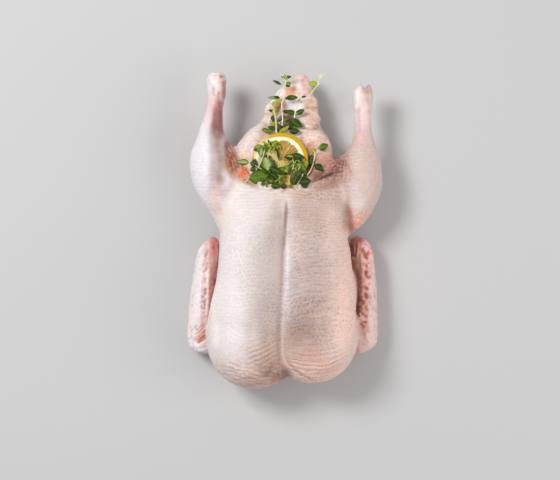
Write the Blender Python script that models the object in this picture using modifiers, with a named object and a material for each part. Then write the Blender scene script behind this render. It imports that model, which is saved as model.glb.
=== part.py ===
"""Whole raw duck, lying on its back with the breast up, its vent stuffed with a lemon slice and a bunch of herbs.

Frame: +Z up, +Y towards the tail, X across the bird. The origin is under the middle of the bird, on the surface it lies on.
The bird is one solid: trunk, breast lobes, legs, wings and tail are lofted, melted together and cut flat where the back rests.
The stuffing is two loose pieces in the vent: the lemon slice, and the bunch of herbs out to its leafy outline.
"""

import math

import bmesh
import bpy
from mathutils import Matrix, Vector

MM = 0.001

# ---- driving sizes, in millimetres ---------------------------------------------------------------------------------
VOXEL = 2.3  # grain of the melt that joins the lofts
MELT_PASSES = 9  # smoothing passes over the joins
CUT_PASSES = 2  # smoothing passes over the edges of the vent
DUCK_TRIANGLES = 6600
BUNCH_TRIANGLES = 1250
SPRIG_TRIANGLES = 1150
AROUND = 56  # points round a trunk section
GAP = 0.35  # clearance between loose pieces

KEEL_GROOVE_WIDTH = 8.0
WING_GROOVE_WIDTH = 3.2

LEMON_RADIUS = 28.3
LEMON_THICK = 6.5
LEMON_TILT = 6.0  # degrees, tail side up
LEMON_CENTRE = (-4.0, 73.8, 60.0)
SEAT_HEIGHT = 50.0  # the slice's way in, straight from above
SEAT_GAP = 1.6  # before the edges are softened

VENT_CENTRE = (0.0, 70.0, 76.0)
VENT_RADII = (40.0, 24.5, 27.0)
TROUGH_CENTRE = (-2.0, 112.0, 52.0)  # hollow between the lemon and the tail
TROUGH_RADII = (14.0, 16.0, 20.0)
SLIT_CENTRE = (-3.5, 128.0, 48.0)  # open seam along the tail
SLIT_RADII = (8.0, 30.0, 11.0)

BUNCH_CENTRE = (-3.0, 65.5, 68.0)
BUNCH_RADII = (27.0, 18.0, 11.0)
BUNCH_LEAVES = 40
BUNCH_LEAF = (7.4, 4.6, 2.6)
# Stems of the sprigs behind the slice, each as its two ends, its pairs of leaves and where the first pair grows
STEMS = [
    ((-9.0, 105.0, 50.0), (-1.0, 160.0, 45.0), 6, 0.05),
    ((0.0, 107.0, 49.0), (4.5, 148.0, 50.0), 5, 0.10),
    ((9.0, 107.0, 49.0), (38.5, 160.0, 46.0), 5, 0.06),
]
STEM_RADIUS = 1.7
SPRIG_LEAF = (6.2, 4.4, 2.3)

# Stations along Y: y, centre x, centre z, half width, rise above the centre, drop below it, squareness of the section
TRUNK = [
    (-151.0, -1.0, 46.0, 0.0, 0.0, 0.0, 2.2),
    (-145.0, -2.0, 46.0, 36.0, 26.0, 28.0, 2.2),
    (-134.0, -3.0, 45.0, 60.0, 39.0, 41.0, 2.3),
    (-120.0, -2.5, 44.0, 72.5, 47.0, 46.0, 2.4),
    (-105.0, -1.8, 44.0, 77.4, 51.5, 47.0, 2.5),
    (-89.0, -2.1, 44.0, 77.2, 54.0, 47.0, 2.5),
    (-70.0, -0.3, 44.0, 75.3, 54.5, 47.0, 2.5),
    (-54.0, 0.8, 44.0, 72.7, 54.0, 47.0, 2.5),
    (-38.0, 0.5, 44.0, 70.4, 53.0, 47.0, 2.5),
    (-21.0, 0.0, 44.0, 68.8, 51.0, 47.0, 2.5),
    (-7.0, -1.0, 44.0, 67.2, 48.5, 47.0, 2.5),
    (16.0, -0.5, 44.0, 66.5, 43.0, 47.0, 2.5),
    (36.0, -0.5, 43.0, 65.0, 34.5, 46.0, 2.5),
    (46.0, -0.5, 42.0, 63.0, 29.5, 45.0, 2.5),
    (60.0, 0.0, 41.0, 59.0, 24.5, 44.0, 2.5),
    (75.0, 0.2, 39.0, 52.6, 22.0, 42.0, 2.5),
    (90.0, 1.0, 36.0, 47.0, 20.0, 38.5, 2.4),
    (100.0, 1.8, 33.0, 42.4, 19.0, 34.0, 2.3),
    (108.0, 3.0, 30.0, 36.0, 18.0, 28.0, 2.2),
    (117.0, 6.5, 27.5, 30.0, 17.5, 23.0, 2.2),
    (130.0, 8.0, 25.5, 26.3, 16.5, 18.0, 2.2),
    (141.0, 9.6, 24.5, 21.6, 15.0, 15.0, 2.2),
    (149.0, 11.5, 24.5, 17.6, 13.5, 13.0, 2.1),
    (157.0, 14.8, 24.5, 11.2, 10.0, 9.5, 2.1),
    (163.6, 17.5, 25.0, 0.0, 0.0, 0.0, 2.0),
]
# Keel line: y, x, depth of the groove between the breast muscles
KEEL = [
    (-150.0, -0.4, 11.0),
    (-140.0, -1.0, 7.5),
    (-120.0, -3.2, 4.8),
    (-100.0, -4.6, 3.6),
    (-75.0, -4.8, 2.9),
    (-45.0, -2.2, 2.3),
    (0.0, -0.6, 2.0),
    (28.0, 2.4, 1.5),
    (44.0, 3.0, 0.0),
]
LEG_LEFT = [
    (165.8, -71.0, 47.0, 0.0, 0.0, 0.0, 2.4),
    (163.6, -71.0, 47.0, 8.6, 7.4, 7.4, 2.5),
    (153.0, -71.2, 47.0, 10.1, 9.5, 9.5, 2.5),
    (143.0, -71.0, 47.0, 9.6, 9.0, 9.0, 2.3),
    (130.0, -73.0, 46.5, 8.8, 8.6, 8.6, 2.0),
    (118.0, -75.0, 46.0, 10.2, 10.0, 10.0, 2.0),
    (105.0, -76.7, 45.5, 13.1, 13.5, 13.0, 2.0),
    (92.0, -76.4, 44.5, 18.0, 18.5, 17.5, 2.0),
    (80.0, -76.0, 43.5, 22.6, 22.5, 21.5, 2.0),
    (65.0, -74.0, 42.5, 25.2, 25.5, 24.5, 2.1),
    (50.0, -70.8, 41.5, 25.8, 26.5, 26.0, 2.1),
    (36.0, -66.0, 41.0, 24.4, 26.0, 26.0, 2.1),
    (21.0, -59.0, 40.0, 21.5, 24.0, 24.0, 2.1),
    (5.0, -52.0, 40.0, 17.0, 19.0, 19.0, 2.0),
    (-8.0, -47.0, 40.0, 0.0, 0.0, 0.0, 2.0),
]
LEG_RIGHT = [
    (152.0, 82.4, 47.0, 0.0, 0.0, 0.0, 2.0),
    (148.0, 82.4, 47.0, 8.6, 7.5, 7.5, 2.2),
    (139.5, 82.4, 47.0, 10.6, 9.5, 9.5, 2.3),
    (130.0, 81.9, 47.0, 10.0, 9.0, 9.0, 2.2),
    (118.0, 82.4, 46.5, 8.8, 8.4, 8.4, 2.0),
    (105.0, 82.4, 46.0, 9.3, 9.4, 9.4, 2.0),
    (92.0, 82.8, 45.5, 12.2, 12.5, 12.0, 2.0),
    (82.0, 81.7, 44.5, 16.4, 17.0, 16.0, 2.0),
    (73.0, 80.3, 43.5, 20.4, 20.5, 19.5, 2.0),
    (61.0, 79.2, 42.5, 23.2, 24.0, 23.0, 2.1),
    (48.0, 78.2, 41.5, 24.4, 25.5, 25.0, 2.1),
    (36.0, 76.4, 40.5, 23.4, 25.0, 25.0, 2.1),
    (23.0, 73.4, 39.5, 20.8, 23.0, 23.5, 2.1),
    (10.0, 67.6, 38.5, 18.0, 20.0, 21.0, 2.0),
    (-2.0, 60.0, 38.0, 12.5, 15.0, 16.0, 2.0),
    (-10.0, 54.0, 38.0, 0.0, 0.0, 0.0, 2.0),
]
WING_LEFT = [
    (-6.5, -75.8, 24.0, 0.0, 0.0, 0.0, 2.0),
    (-9.0, -76.2, 24.0, 5.0, 8.5, 8.5, 2.2),
    (-14.0, -78.0, 23.5, 8.6, 11.5, 11.5, 2.3),
    (-21.0, -80.0, 23.0, 11.0, 13.5, 14.0, 2.4),
    (-33.0, -81.4, 22.0, 12.0, 15.0, 17.0, 2.4),
    (-52.0, -84.3, 21.0, 12.0, 16.5, 20.0, 2.5),
    (-73.0, -87.6, 20.5, 12.0, 17.5, 21.5, 2.5),
    (-94.0, -89.8, 20.5, 11.8, 18.0, 21.5, 2.5),
    (-110.0, -90.8, 20.5, 12.0, 17.0, 20.5, 2.5),
    (-121.0, -90.2, 20.5, 11.4, 15.0, 17.5, 2.4),
    (-127.5, -87.5, 20.5, 8.0, 11.5, 12.5, 2.2),
    (-131.0, -85.5, 20.5, 0.0, 0.0, 0.0, 2.0),
]
WING_RIGHT = [
    (-6.0, 77.6, 24.0, 0.0, 0.0, 0.0, 2.0),
    (-8.5, 78.0, 24.0, 6.6, 9.0, 8.5, 2.2),
    (-14.0, 79.3, 23.5, 10.6, 12.0, 11.5, 2.3),
    (-23.0, 81.2, 23.0, 12.2, 14.0, 14.5, 2.4),
    (-37.0, 83.4, 22.0, 11.4, 15.5, 17.5, 2.4),
    (-52.0, 85.2, 21.0, 11.0, 16.5, 20.0, 2.5),
    (-73.0, 86.6, 20.5, 10.8, 17.5, 21.5, 2.5),
    (-89.0, 86.8, 20.5, 11.0, 18.0, 21.5, 2.5),
    (-105.0, 86.6, 20.5, 11.4, 17.0, 20.5, 2.5),
    (-118.0, 85.8, 20.5, 11.4, 15.0, 17.5, 2.4),
    (-126.0, 82.5, 20.5, 8.4, 11.5, 12.5, 2.2),
    (-130.0, 80.0, 20.5, 0.0, 0.0, 0.0, 2.0),
]
# Crease between the two strips of each wing: y, x, depth
WING_CREASE_LEFT = [(-122.0, -87.0, 0.0), (-108.0, -87.5, 2.2), (-60.0, -82.8, 2.6), (-24.0, -78.3, 2.2), (-12.0, -77.0, 0.0)]
WING_CREASE_RIGHT = [(-120.0, 83.0, 0.0), (-104.0, 83.8, 2.2), (-60.0, 85.0, 2.6), (-26.0, 81.8, 2.4), (-12.0, 79.0, 0.0)]
# Round masses: centre, radii, turn about Z in degrees
MASSES = {
    "breast_lobe_left": ((-31.0, -115.0, 47.5), (51.0, 51.0, 46.0), 0.0),
    "breast_lobe_right": ((29.0, -111.6, 47.5), (48.2, 48.2, 46.0), 0.0),
    "web_left": ((-47.0, 67.5, 36.0), (25.0, 24.0, 21.0), 0.0),
    "web_right": ((60.5, 57.5, 36.0), (25.0, 21.0, 21.0), 0.0),
    "shoulder_left": ((-81.0, -106.0, 21.0), (13.0, 20.0, 16.0), 0.0),
    "shoulder_right": ((78.0, -104.0, 21.0), (13.0, 20.0, 16.0), 0.0),
    "upper_arm_right": ((74.0, -60.0, 24.0), (6.5, 26.0, 14.0), -3.0),
    "condyle_left_a": ((-76.3, 158.5, 47.5), (5.8, 6.4, 7.5), 0.0),
    "condyle_left_b": ((-66.9, 158.5, 47.0), (5.8, 6.4, 7.5), 0.0),
    "condyle_right_a": ((78.2, 146.3, 47.5), (5.4, 6.2, 7.0), 0.0),
    "condyle_right_b": ((87.3, 146.8, 47.0), (4.8, 6.0, 7.0), 0.0),
    "tail_flap_left": ((-31.5, 91.5, 41.0), (13.5, 21.0, 16.0), -32.0),
    "tail_flap_right": ((33.0, 91.5, 42.0), (13.0, 21.0, 17.0), 30.0),
    "tail_knuckle_right": ((25.0, 114.0, 33.0), (11.0, 13.0, 14.0), 10.0),
    "tail_ridge_right": ((25.5, 138.0, 31.5), (8.0, 26.0, 9.5), 12.0),
    "tail_ridge_left": ((-1.5, 138.0, 33.5), (5.5, 22.0, 7.0), -38.0),
    "neck_fold": ((0.0, -128.0, 17.0), (40.0, 24.0, 17.0), 0.0),
}


# ---- helpers ---------------------------------------------------------------------------------------------------------
def between(table, y, column, squared=False):
    """Smooth value of a column at y. Half widths go by their squares, which rounds the tips."""
    rows = sorted(table)
    ys = [r[0] for r in rows]
    values = [r[column] ** 2 if squared else r[column] for r in rows]
    y = min(max(y, ys[0]), ys[-1])
    i = max(0, min(len(ys) - 2, next((k for k in range(len(ys) - 1) if y <= ys[k + 1]), len(ys) - 2)))

    def slope(k):
        if k in (0, len(ys) - 1):
            return 0.0 if not squared else None
        before = (values[k] - values[k - 1]) / (ys[k] - ys[k - 1])
        after = (values[k + 1] - values[k]) / (ys[k + 1] - ys[k])
        if before * after <= 0:
            return 0.0
        return 2 * before * after / (before + after)

    h = ys[i + 1] - ys[i]
    t = (y - ys[i]) / h
    chord = (values[i + 1] - values[i]) / h
    m0 = slope(i)
    m1 = slope(i + 1)
    m0 = chord if m0 is None else m0
    m1 = chord if m1 is None else m1
    value = (
        (2 * t**3 - 3 * t**2 + 1) * values[i]
        + (t**3 - 2 * t**2 + t) * h * m0
        + (-2 * t**3 + 3 * t**2) * values[i + 1]
        + (t**3 - t**2) * h * m1
    )
    return math.sqrt(max(value, 0.0)) if squared else value


def stations(table, steps):
    """Y positions along a table, closer together towards both tips."""
    low, high = min(r[0] for r in table), max(r[0] for r in table)
    return [low + (high - low) * 0.5 * (1 - math.cos(math.pi * k / steps)) for k in range(steps + 1)]


def loft(table, steps, around, groove=None, groove_width=KEEL_GROOVE_WIDTH):
    """A closed loft along Y with superellipse sections and pointed-round tips, as a bmesh in metres."""
    bm = bmesh.new()
    rings = []
    ys = stations(table, steps)
    for y in ys[1:-1]:
        x0, z0, n = (between(table, y, c) for c in (1, 2, 6))
        wide, up, down = (between(table, y, c, squared=True) for c in (3, 4, 5))
        ring = []
        for k in range(around):
            a = 2 * math.pi * k / around
            c, s = math.cos(a), math.sin(a)
            x = x0 + wide * math.copysign(abs(c) ** (2 / n), c)
            z = z0 + (up if s > 0 else down) * math.copysign(abs(s) ** (2 / n), s)
            if groove and s > 0:
                line, depth = between(groove, y, 1), between(groove, y, 2)
                inside = 1.0 if min(r[0] for r in groove) <= y <= max(r[0] for r in groove) else 0.0
                z -= inside * depth * math.exp(-(((x - line) / groove_width) ** 2))
            ring.append(bm.verts.new((x * MM, y * MM, z * MM)))
        rings.append(ring)
    tips = [
        bm.verts.new((between(table, y, 1) * MM, y * MM, between(table, y, 2) * MM)) for y in (ys[0], ys[-1])
    ]
    for a, b in zip(rings, rings[1:]):
        for k in range(around):
            j = (k + 1) % around
            bm.faces.new((a[k], a[j], b[j], b[k]))
    for k in range(around):
        j = (k + 1) % around
        bm.faces.new((tips[0], rings[0][j], rings[0][k]))
        bm.faces.new((tips[1], rings[-1][k], rings[-1][j]))
    bmesh.ops.recalc_face_normals(bm, faces=bm.faces)
    return bm


def ellipsoid(centre, radii, turn, segments=32):
    """A stretched sphere, as a bmesh in metres."""
    bm = bmesh.new()
    place = (
        Matrix.Translation(Vector(centre) * MM)
        @ Matrix.Rotation(math.radians(turn), 4, "Z")
        @ Matrix.Diagonal((*(Vector(radii) * MM), 1.0))
    )
    bmesh.ops.create_uvsphere(bm, u_segments=segments, v_segments=segments // 2, radius=1.0, matrix=place)
    return bm


def leaf_blade(centre, radii, turn, tip_up):
    """One leaf as a flat ellipsoid, long along its own X, turned about Z with its tip raised."""
    bm = bmesh.new()
    place = (
        Matrix.Translation(Vector(centre) * MM)
        @ Matrix.Rotation(math.radians(turn), 4, "Z")
        @ Matrix.Rotation(math.radians(-tip_up), 4, "Y")
        @ Matrix.Diagonal((*(Vector(radii) * MM), 1.0))
    )
    bmesh.ops.create_uvsphere(bm, u_segments=14, v_segments=8, radius=1.0, matrix=place)
    return bm


def gather(parts):
    """One mesh that holds several overlapping closed shapes."""
    whole = bmesh.new()
    for bm in parts:
        piece = bpy.data.meshes.new("piece")
        bm.to_mesh(piece)
        bm.free()
        whole.from_mesh(piece)
        bpy.data.meshes.remove(piece)
    return whole


def add_object(name, bm, collection):
    mesh = bpy.data.meshes.new(name)
    bm.to_mesh(mesh)
    bm.free()
    obj = bpy.data.objects.new(name, mesh)
    collection.objects.link(obj)
    return obj


def as_cutter(obj):
    obj.hide_render = True
    obj.display_type = "WIRE"
    return obj


def cut(obj, cutter, name, operation="DIFFERENCE"):
    modifier = obj.modifiers.new(name, "BOOLEAN")
    modifier.operation = operation
    modifier.object = cutter
    modifier.solver = "EXACT"
    return modifier


def melt(obj, voxel, passes):
    """Joins the overlapping shapes of a mesh into one skin and softens the joins."""
    remesh = obj.modifiers.new("join", "REMESH")
    remesh.mode = "VOXEL"
    remesh.voxel_size = voxel * MM
    remesh.adaptivity = 0.0
    smooth = obj.modifiers.new("soften", "SMOOTH")
    smooth.factor = 0.5
    smooth.iterations = passes


def thin(obj, triangles):
    """Thins the faces to about this many triangles."""
    ratio = triangles / evaluated_triangles(obj)
    modifier = obj.modifiers.new("thin", "DECIMATE")
    modifier.decimate_type = "COLLAPSE"
    modifier.use_collapse_triangulate = True
    modifier.ratio = ratio


def material(name, colour, roughness, metallic=0.0):
    made = bpy.data.materials.new(name)
    made.use_nodes = True
    shader = made.node_tree.nodes["Principled BSDF"]
    shader.inputs["Base Color"].default_value = (*colour, 1.0)
    shader.inputs["Roughness"].default_value = roughness
    shader.inputs["Metallic"].default_value = metallic
    return made


def evaluated_triangles(obj):
    bpy.context.view_layer.update()
    shown = obj.evaluated_get(bpy.context.evaluated_depsgraph_get())
    mesh = shown.to_mesh()
    count = sum(len(p.vertices) - 2 for p in mesh.polygons)
    shown.to_mesh_clear()
    return count


# ---- scene -----------------------------------------------------------------------------------------------------------
for old in list(bpy.data.objects):
    bpy.data.objects.remove(old)
scene = bpy.context.scene
scene.unit_settings.scale_length = 1.0
parts = bpy.data.collections.new("whole_raw_duck")
cutters = bpy.data.collections.new("cutters")
scene.collection.children.link(parts)
scene.collection.children.link(cutters)

skin = material("duck_skin", (0.80, 0.62, 0.54), 0.45)
fruit = material("lemon", (0.90, 0.66, 0.08), 0.35)
leaf = material("herb_leaf", (0.10, 0.22, 0.04), 0.5)

# ---- the lemon slice: a thick disc with softened rims, lying in the vent --------------------------
bm = bmesh.new()
bmesh.ops.create_cone(
    bm, cap_ends=True, segments=48, radius1=LEMON_RADIUS * MM, radius2=LEMON_RADIUS * MM, depth=LEMON_THICK * MM
)
lemon = add_object("lemon_slice", bm, parts)
lemon.location = Vector(LEMON_CENTRE) * MM
lemon.rotation_euler = (math.radians(LEMON_TILT), 0.0, 0.0)
rim = lemon.modifiers.new("rim", "BEVEL")
rim.width = 1.2 * MM
rim.segments = 2
rim.limit_method = "ANGLE"
rim.angle_limit = math.radians(50)
lemon.data.materials.append(fruit)

# ---- the bird --------------------------------------------------------------------------------------------------------
shapes = [
    loft(TRUNK, 60, AROUND, groove=KEEL),
    loft(LEG_LEFT, 40, 28),
    loft(LEG_RIGHT, 40, 28),
    loft(WING_LEFT, 34, 48, WING_CREASE_LEFT, WING_GROOVE_WIDTH),
    loft(WING_RIGHT, 34, 48, WING_CREASE_RIGHT, WING_GROOVE_WIDTH),
]
shapes += [ellipsoid(*sizes) for sizes in MASSES.values()]
duck = add_object("duck", gather(shapes), parts)
duck.data.materials.append(skin)
melt(duck, VOXEL, MELT_PASSES)

# The vent: an oval pocket open at the top, whose floor is the lemon slice's seat
seat = Matrix.Translation(Vector(LEMON_CENTRE) * MM) @ Matrix.Rotation(math.radians(LEMON_TILT), 4, "X")
slice_depth = LEMON_RADIUS * math.cos(math.radians(LEMON_TILT)) + LEMON_THICK / 2 * math.sin(math.radians(LEMON_TILT))
vent = as_cutter(add_object("vent_cutter", ellipsoid(VENT_CENTRE, VENT_RADII, 0.0, 40), cutters))
bm = bmesh.new()
bmesh.ops.create_cube(
    bm,
    size=1.0,
    matrix=seat
    @ Matrix.Translation((0, 0, -(LEMON_THICK / 2 + SEAT_GAP + 50.0) * MM))
    @ Matrix.Diagonal((160 * MM, 160 * MM, 100 * MM, 1.0)),
)
floor_block = as_cutter(add_object("vent_floor_block", bm, cutters))
bm = bmesh.new()
bmesh.ops.create_cone(
    bm,
    cap_ends=True,
    segments=48,
    radius1=1.0,
    radius2=1.0,
    depth=1.0,
    matrix=Matrix.Translation(Vector(LEMON_CENTRE) * MM)
    @ Matrix.Diagonal(
        ((LEMON_RADIUS + SEAT_GAP) * MM, (slice_depth + SEAT_GAP) * MM, 2 * SEAT_HEIGHT * MM, 1.0)
    ),
)
round_seat = as_cutter(add_object("lemon_seat_cutter", bm, cutters))
cut(round_seat, floor_block, "floor")
cut(vent, floor_block, "floor")
trough = as_cutter(add_object("trough_cutter", ellipsoid(TROUGH_CENTRE, TROUGH_RADII, 0.0, 28), cutters))
slit = as_cutter(add_object("slit_cutter", ellipsoid(SLIT_CENTRE, SLIT_RADII, -4.0, 28), cutters))
cut(duck, vent, "vent")
cut(duck, round_seat, "lemon_seat")
cut(trough, slit, "slit", "UNION")
cut(duck, trough, "trough")
melt(duck, VOXEL, CUT_PASSES)
thin(duck, DUCK_TRIANGLES)

# The back is pressed flat where the bird lies on it
bm = bmesh.new()
bmesh.ops.create_cube(
    bm, size=1.0, matrix=Matrix.Translation((0, 0, -0.05)) @ Matrix.Diagonal((0.6, 0.6, 0.1, 1.0))
)
ground = as_cutter(add_object("ground_cutter", bm, cutters))
cut(duck, ground, "rest")

# ---- the herbs: two leafy bundles, each out to its uneven outline ----------------------------------------------------
def swollen(obj, name, by, voxel):
    """A slightly larger copy of a finished piece, which cuts its loose neighbours back to the clearance."""
    bpy.context.view_layer.update()
    mesh = bpy.data.meshes.new_from_object(obj.evaluated_get(bpy.context.evaluated_depsgraph_get()))
    copy = bpy.data.objects.new(name, mesh)
    copy.matrix_world = obj.matrix_world
    cutters.objects.link(copy)
    grow = copy.modifiers.new("grow", "DISPLACE")
    grow.mid_level = 0.0
    grow.strength = by * MM
    tidy = copy.modifiers.new("tidy", "REMESH")
    tidy.mode = "VOXEL"
    tidy.voxel_size = voxel * MM
    return as_cutter(copy)


duck_clear = swollen(duck, "duck_clearance", 2.4 * GAP, 1.4)
lemon_clear = swollen(lemon, "lemon_clearance", 2.0 * GAP, 0.8)

# The bunch on the slice: a mound with leaves standing out of it all round
lumps = [ellipsoid(BUNCH_CENTRE, BUNCH_RADII, 0.0, 20)]
for k in range(BUNCH_LEAVES):
    a = 2.399963 * k  # golden angle, so that the leaves spread evenly
    far = math.sqrt((k + 0.5) / BUNCH_LEAVES)
    high = BUNCH_RADII[2] * (0.98 * math.sqrt(max(0.0, 1 - far * far)) + 0.16 * math.sin(2.7 * k))
    centre = (
        BUNCH_CENTRE[0] + BUNCH_RADII[0] * far * math.cos(a),
        BUNCH_CENTRE[1] + BUNCH_RADII[1] * far * math.sin(a),
        BUNCH_CENTRE[2] + high,
    )
    size = 1.0 + 0.22 * math.sin(1.9 * k)
    lumps.append(leaf_blade(centre, [r * size for r in BUNCH_LEAF], 57.0 * k, 28 * math.sin(3.1 * k)))
bunch = add_object("herb_bunch", gather(lumps), parts)
bunch.data.materials.append(leaf)
melt(bunch, 1.3, 1)
cut(bunch, duck_clear, "off_duck")
cut(bunch, lemon_clear, "off_lemon")
thin(bunch, BUNCH_TRIANGLES)

# The sprigs behind the slice: stems that lean over the tail, with leaves in pairs along them
lumps = [ellipsoid((0.0, 111.0, 47.0), (15.0, 8.0, 7.0), 0.0, 16)]
for s, (foot, tip, pairs, first) in enumerate(STEMS):
    foot, tip = Vector(foot), Vector(tip)
    along = (tip - foot).normalized()
    turn = math.degrees(math.atan2(along.y, along.x))
    beads = 14
    for k in range(beads):
        t = k / (beads - 1)
        r = STEM_RADIUS * (1 - 0.25 * t)
        lumps.append(ellipsoid(foot.lerp(tip, t), ((tip - foot).length / beads, r, r), turn, 10))
    for k in range(pairs):
        t = first + (0.99 - first) * k / (pairs - 1)
        size = 1.15 - 0.55 * t
        for side in (-1, 1):
            spread = turn + side * (68 - 22 * t + 14 * math.sin(2.3 * k + s))
            out = Vector((math.cos(math.radians(spread)), math.sin(math.radians(spread)), 0.0))
            at = foot.lerp(tip, t) + out * SPRIG_LEAF[0] * size * 0.9
            lumps.append(leaf_blade(at, [r * size for r in SPRIG_LEAF], spread, 16 * math.sin(1.3 * k + side)))
sprigs = add_object("herb_sprigs", gather(lumps), parts)
sprigs.data.materials.append(leaf)
melt(sprigs, 1.2, 1)
cut(sprigs, duck_clear, "off_duck")
cut(sprigs, lemon_clear, "off_lemon")
thin(sprigs, SPRIG_TRIANGLES)

for obj in (duck, bunch, sprigs):
    obj.data.shade_smooth()
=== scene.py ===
"""Looks of the whole raw duck: skin, lemon slice and herbs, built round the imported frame.

Plan positions are written as (u, v), counted right and down in steps of 1.05 mm, and turned into the frame by plan().
The skin is the zero level of a field made of lofts and round masses that melt into each other, with the creases,
puckers and folds worked in as smaller masses. Finer relief is laid on the mesh, and the finest in the material.
"""

import math

import bpy
import numpy as np
from mathutils import Matrix, Vector
from mathutils.bvhtree import BVHTree


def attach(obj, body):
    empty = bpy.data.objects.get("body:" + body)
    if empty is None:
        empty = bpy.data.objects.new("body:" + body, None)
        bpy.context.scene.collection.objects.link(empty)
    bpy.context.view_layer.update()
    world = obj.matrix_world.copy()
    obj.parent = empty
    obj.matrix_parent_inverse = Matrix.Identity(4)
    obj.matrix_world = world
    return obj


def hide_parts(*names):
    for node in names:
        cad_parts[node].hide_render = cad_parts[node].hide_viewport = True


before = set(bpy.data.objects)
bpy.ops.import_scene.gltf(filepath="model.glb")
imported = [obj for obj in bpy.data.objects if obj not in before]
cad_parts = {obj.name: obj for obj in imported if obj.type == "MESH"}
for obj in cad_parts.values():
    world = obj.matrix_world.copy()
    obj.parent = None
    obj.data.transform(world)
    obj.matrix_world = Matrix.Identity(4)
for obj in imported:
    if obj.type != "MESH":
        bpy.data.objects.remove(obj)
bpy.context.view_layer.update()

MM = 0.001
STEP = 1.05  # millimetres per plan step


def plan(u, v, z=None):
    """Plan position to millimetres in the frame."""
    x, y = (u - 284.5) * STEP, (230.5 - v) * STEP
    return (x, y) if z is None else (x, y, z)


# ---- noise -----------------------------------------------------------------------------------------------------------
def noise(p, size, seed=0):
    """Smooth value noise in -1..1 at points p (N, 3), with a lattice of the given size (number or triple)."""
    q = np.asarray(p, float) / size + 31.7 * (seed + 1)
    cell = np.floor(q).astype(np.int64)
    f = q - cell
    w = f * f * f * (f * (f * 6 - 15) + 10)
    total = np.zeros(len(q))
    for i in (0, 1):
        wx = w[:, 0] if i else 1 - w[:, 0]
        for j in (0, 1):
            wy = w[:, 1] if j else 1 - w[:, 1]
            for k in (0, 1):
                wz = w[:, 2] if k else 1 - w[:, 2]
                n = (cell[:, 0] + i) * 374761393 + (cell[:, 1] + j) * 668265263 + (cell[:, 2] + k) * 2147483629 + seed * 974711
                n = n & 0xFFFFFFFF
                n = ((n ^ (n >> 13)) * 1274126177) & 0xFFFFFFFF
                total += wx * wy * wz * (((n ^ (n >> 16)) & 0xFFFF) / 32767.5 - 1)
    return total


def fbm(p, size, seed=0, octaves=3, gain=0.5):
    total, amp, norm = np.zeros(len(p)), 1.0, 0.0
    for o in range(octaves):
        total += amp * noise(p, np.asarray(size, float) / 2**o, seed + 7 * o)
        norm += amp
        amp *= gain
    return total / norm


def ramp(x, a, b):
    """Smooth 0..1 as x goes from a to b."""
    t = np.clip((x - a) / (b - a), 0.0, 1.0)
    return t * t * (3 - 2 * t)


# ---- station tables: y, centre x, centre z, half width, rise, drop, squareness ---------------------------------------
TRUNK = [
    (-151.0, -1.0, 46.0, 0.0, 0.0, 0.0, 2.2),
    (-145.0, -2.0, 46.0, 36.0, 26.0, 28.0, 2.2),
    (-134.0, -3.0, 45.0, 60.0, 39.0, 41.0, 2.3),
    (-120.0, -2.5, 44.0, 72.5, 47.0, 46.0, 2.4),
    (-105.0, -1.8, 44.0, 77.4, 51.5, 47.0, 2.5),
    (-89.0, -2.1, 44.0, 77.2, 54.0, 47.0, 2.5),
    (-70.0, -0.3, 44.0, 75.3, 54.5, 47.0, 2.5),
    (-54.0, 0.8, 44.0, 72.7, 54.0, 47.0, 2.5),
    (-38.0, 0.5, 44.0, 70.4, 53.0, 47.0, 2.5),
    (-21.0, 0.0, 44.0, 68.8, 51.0, 47.0, 2.5),
    (-7.0, -1.0, 44.0, 67.2, 48.5, 47.0, 2.5),
    (16.0, -0.5, 44.0, 66.5, 43.0, 47.0, 2.5),
    (36.0, -0.5, 43.0, 65.0, 34.5, 46.0, 2.5),
    (46.0, -0.5, 42.0, 63.0, 29.5, 45.0, 2.5),
    (60.0, 0.0, 41.0, 59.0, 24.5, 44.0, 2.5),
    (75.0, 0.2, 39.0, 52.6, 22.0, 42.0, 2.5),
    (90.0, 1.0, 36.0, 47.0, 20.0, 38.5, 2.4),
    (100.0, 1.8, 33.0, 42.4, 19.0, 34.0, 2.3),
    (108.0, 3.0, 30.0, 36.0, 18.0, 28.0, 2.2),
    (117.0, 6.5, 27.5, 30.0, 17.5, 23.0, 2.2),
    (130.0, 8.0, 25.5, 26.3, 16.5, 18.0, 2.2),
    (141.0, 9.6, 24.5, 21.6, 15.0, 15.0, 2.2),
    (149.0, 11.5, 24.5, 17.6, 13.5, 13.0, 2.1),
    (157.0, 14.8, 24.5, 11.2, 10.0, 9.5, 2.1),
    (163.6, 17.5, 25.0, 0.0, 0.0, 0.0, 2.0),
]
LEG_LEFT = [
    (165.6, -71.0, 47.0, 0.0, 0.0, 0.0, 2.6),
    (163.6, -71.0, 47.0, 8.6, 7.4, 7.4, 2.6),
    (153.0, -71.2, 47.0, 9.9, 9.5, 9.5, 2.6),
    (143.0, -71.0, 47.0, 9.4, 9.0, 9.0, 2.3),
    (130.0, -73.0, 46.5, 8.6, 8.6, 8.6, 2.0),
    (118.0, -75.0, 46.0, 10.0, 10.0, 10.0, 2.0),
    (105.0, -76.7, 45.5, 13.0, 13.5, 13.0, 2.0),
    (92.0, -76.4, 44.5, 18.0, 18.5, 17.5, 2.0),
    (80.0, -76.0, 43.5, 22.6, 22.5, 21.5, 2.0),
    (65.0, -74.0, 42.5, 25.2, 25.5, 24.5, 2.1),
    (50.0, -70.8, 41.5, 25.8, 26.5, 26.0, 2.1),
    (36.0, -66.0, 41.0, 24.4, 26.0, 26.0, 2.1),
    (21.0, -59.0, 40.0, 21.5, 24.0, 24.0, 2.1),
    (5.0, -52.0, 40.0, 17.0, 19.0, 19.0, 2.0),
    (-8.0, -47.0, 40.0, 0.0, 0.0, 0.0, 2.0),
]
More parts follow.
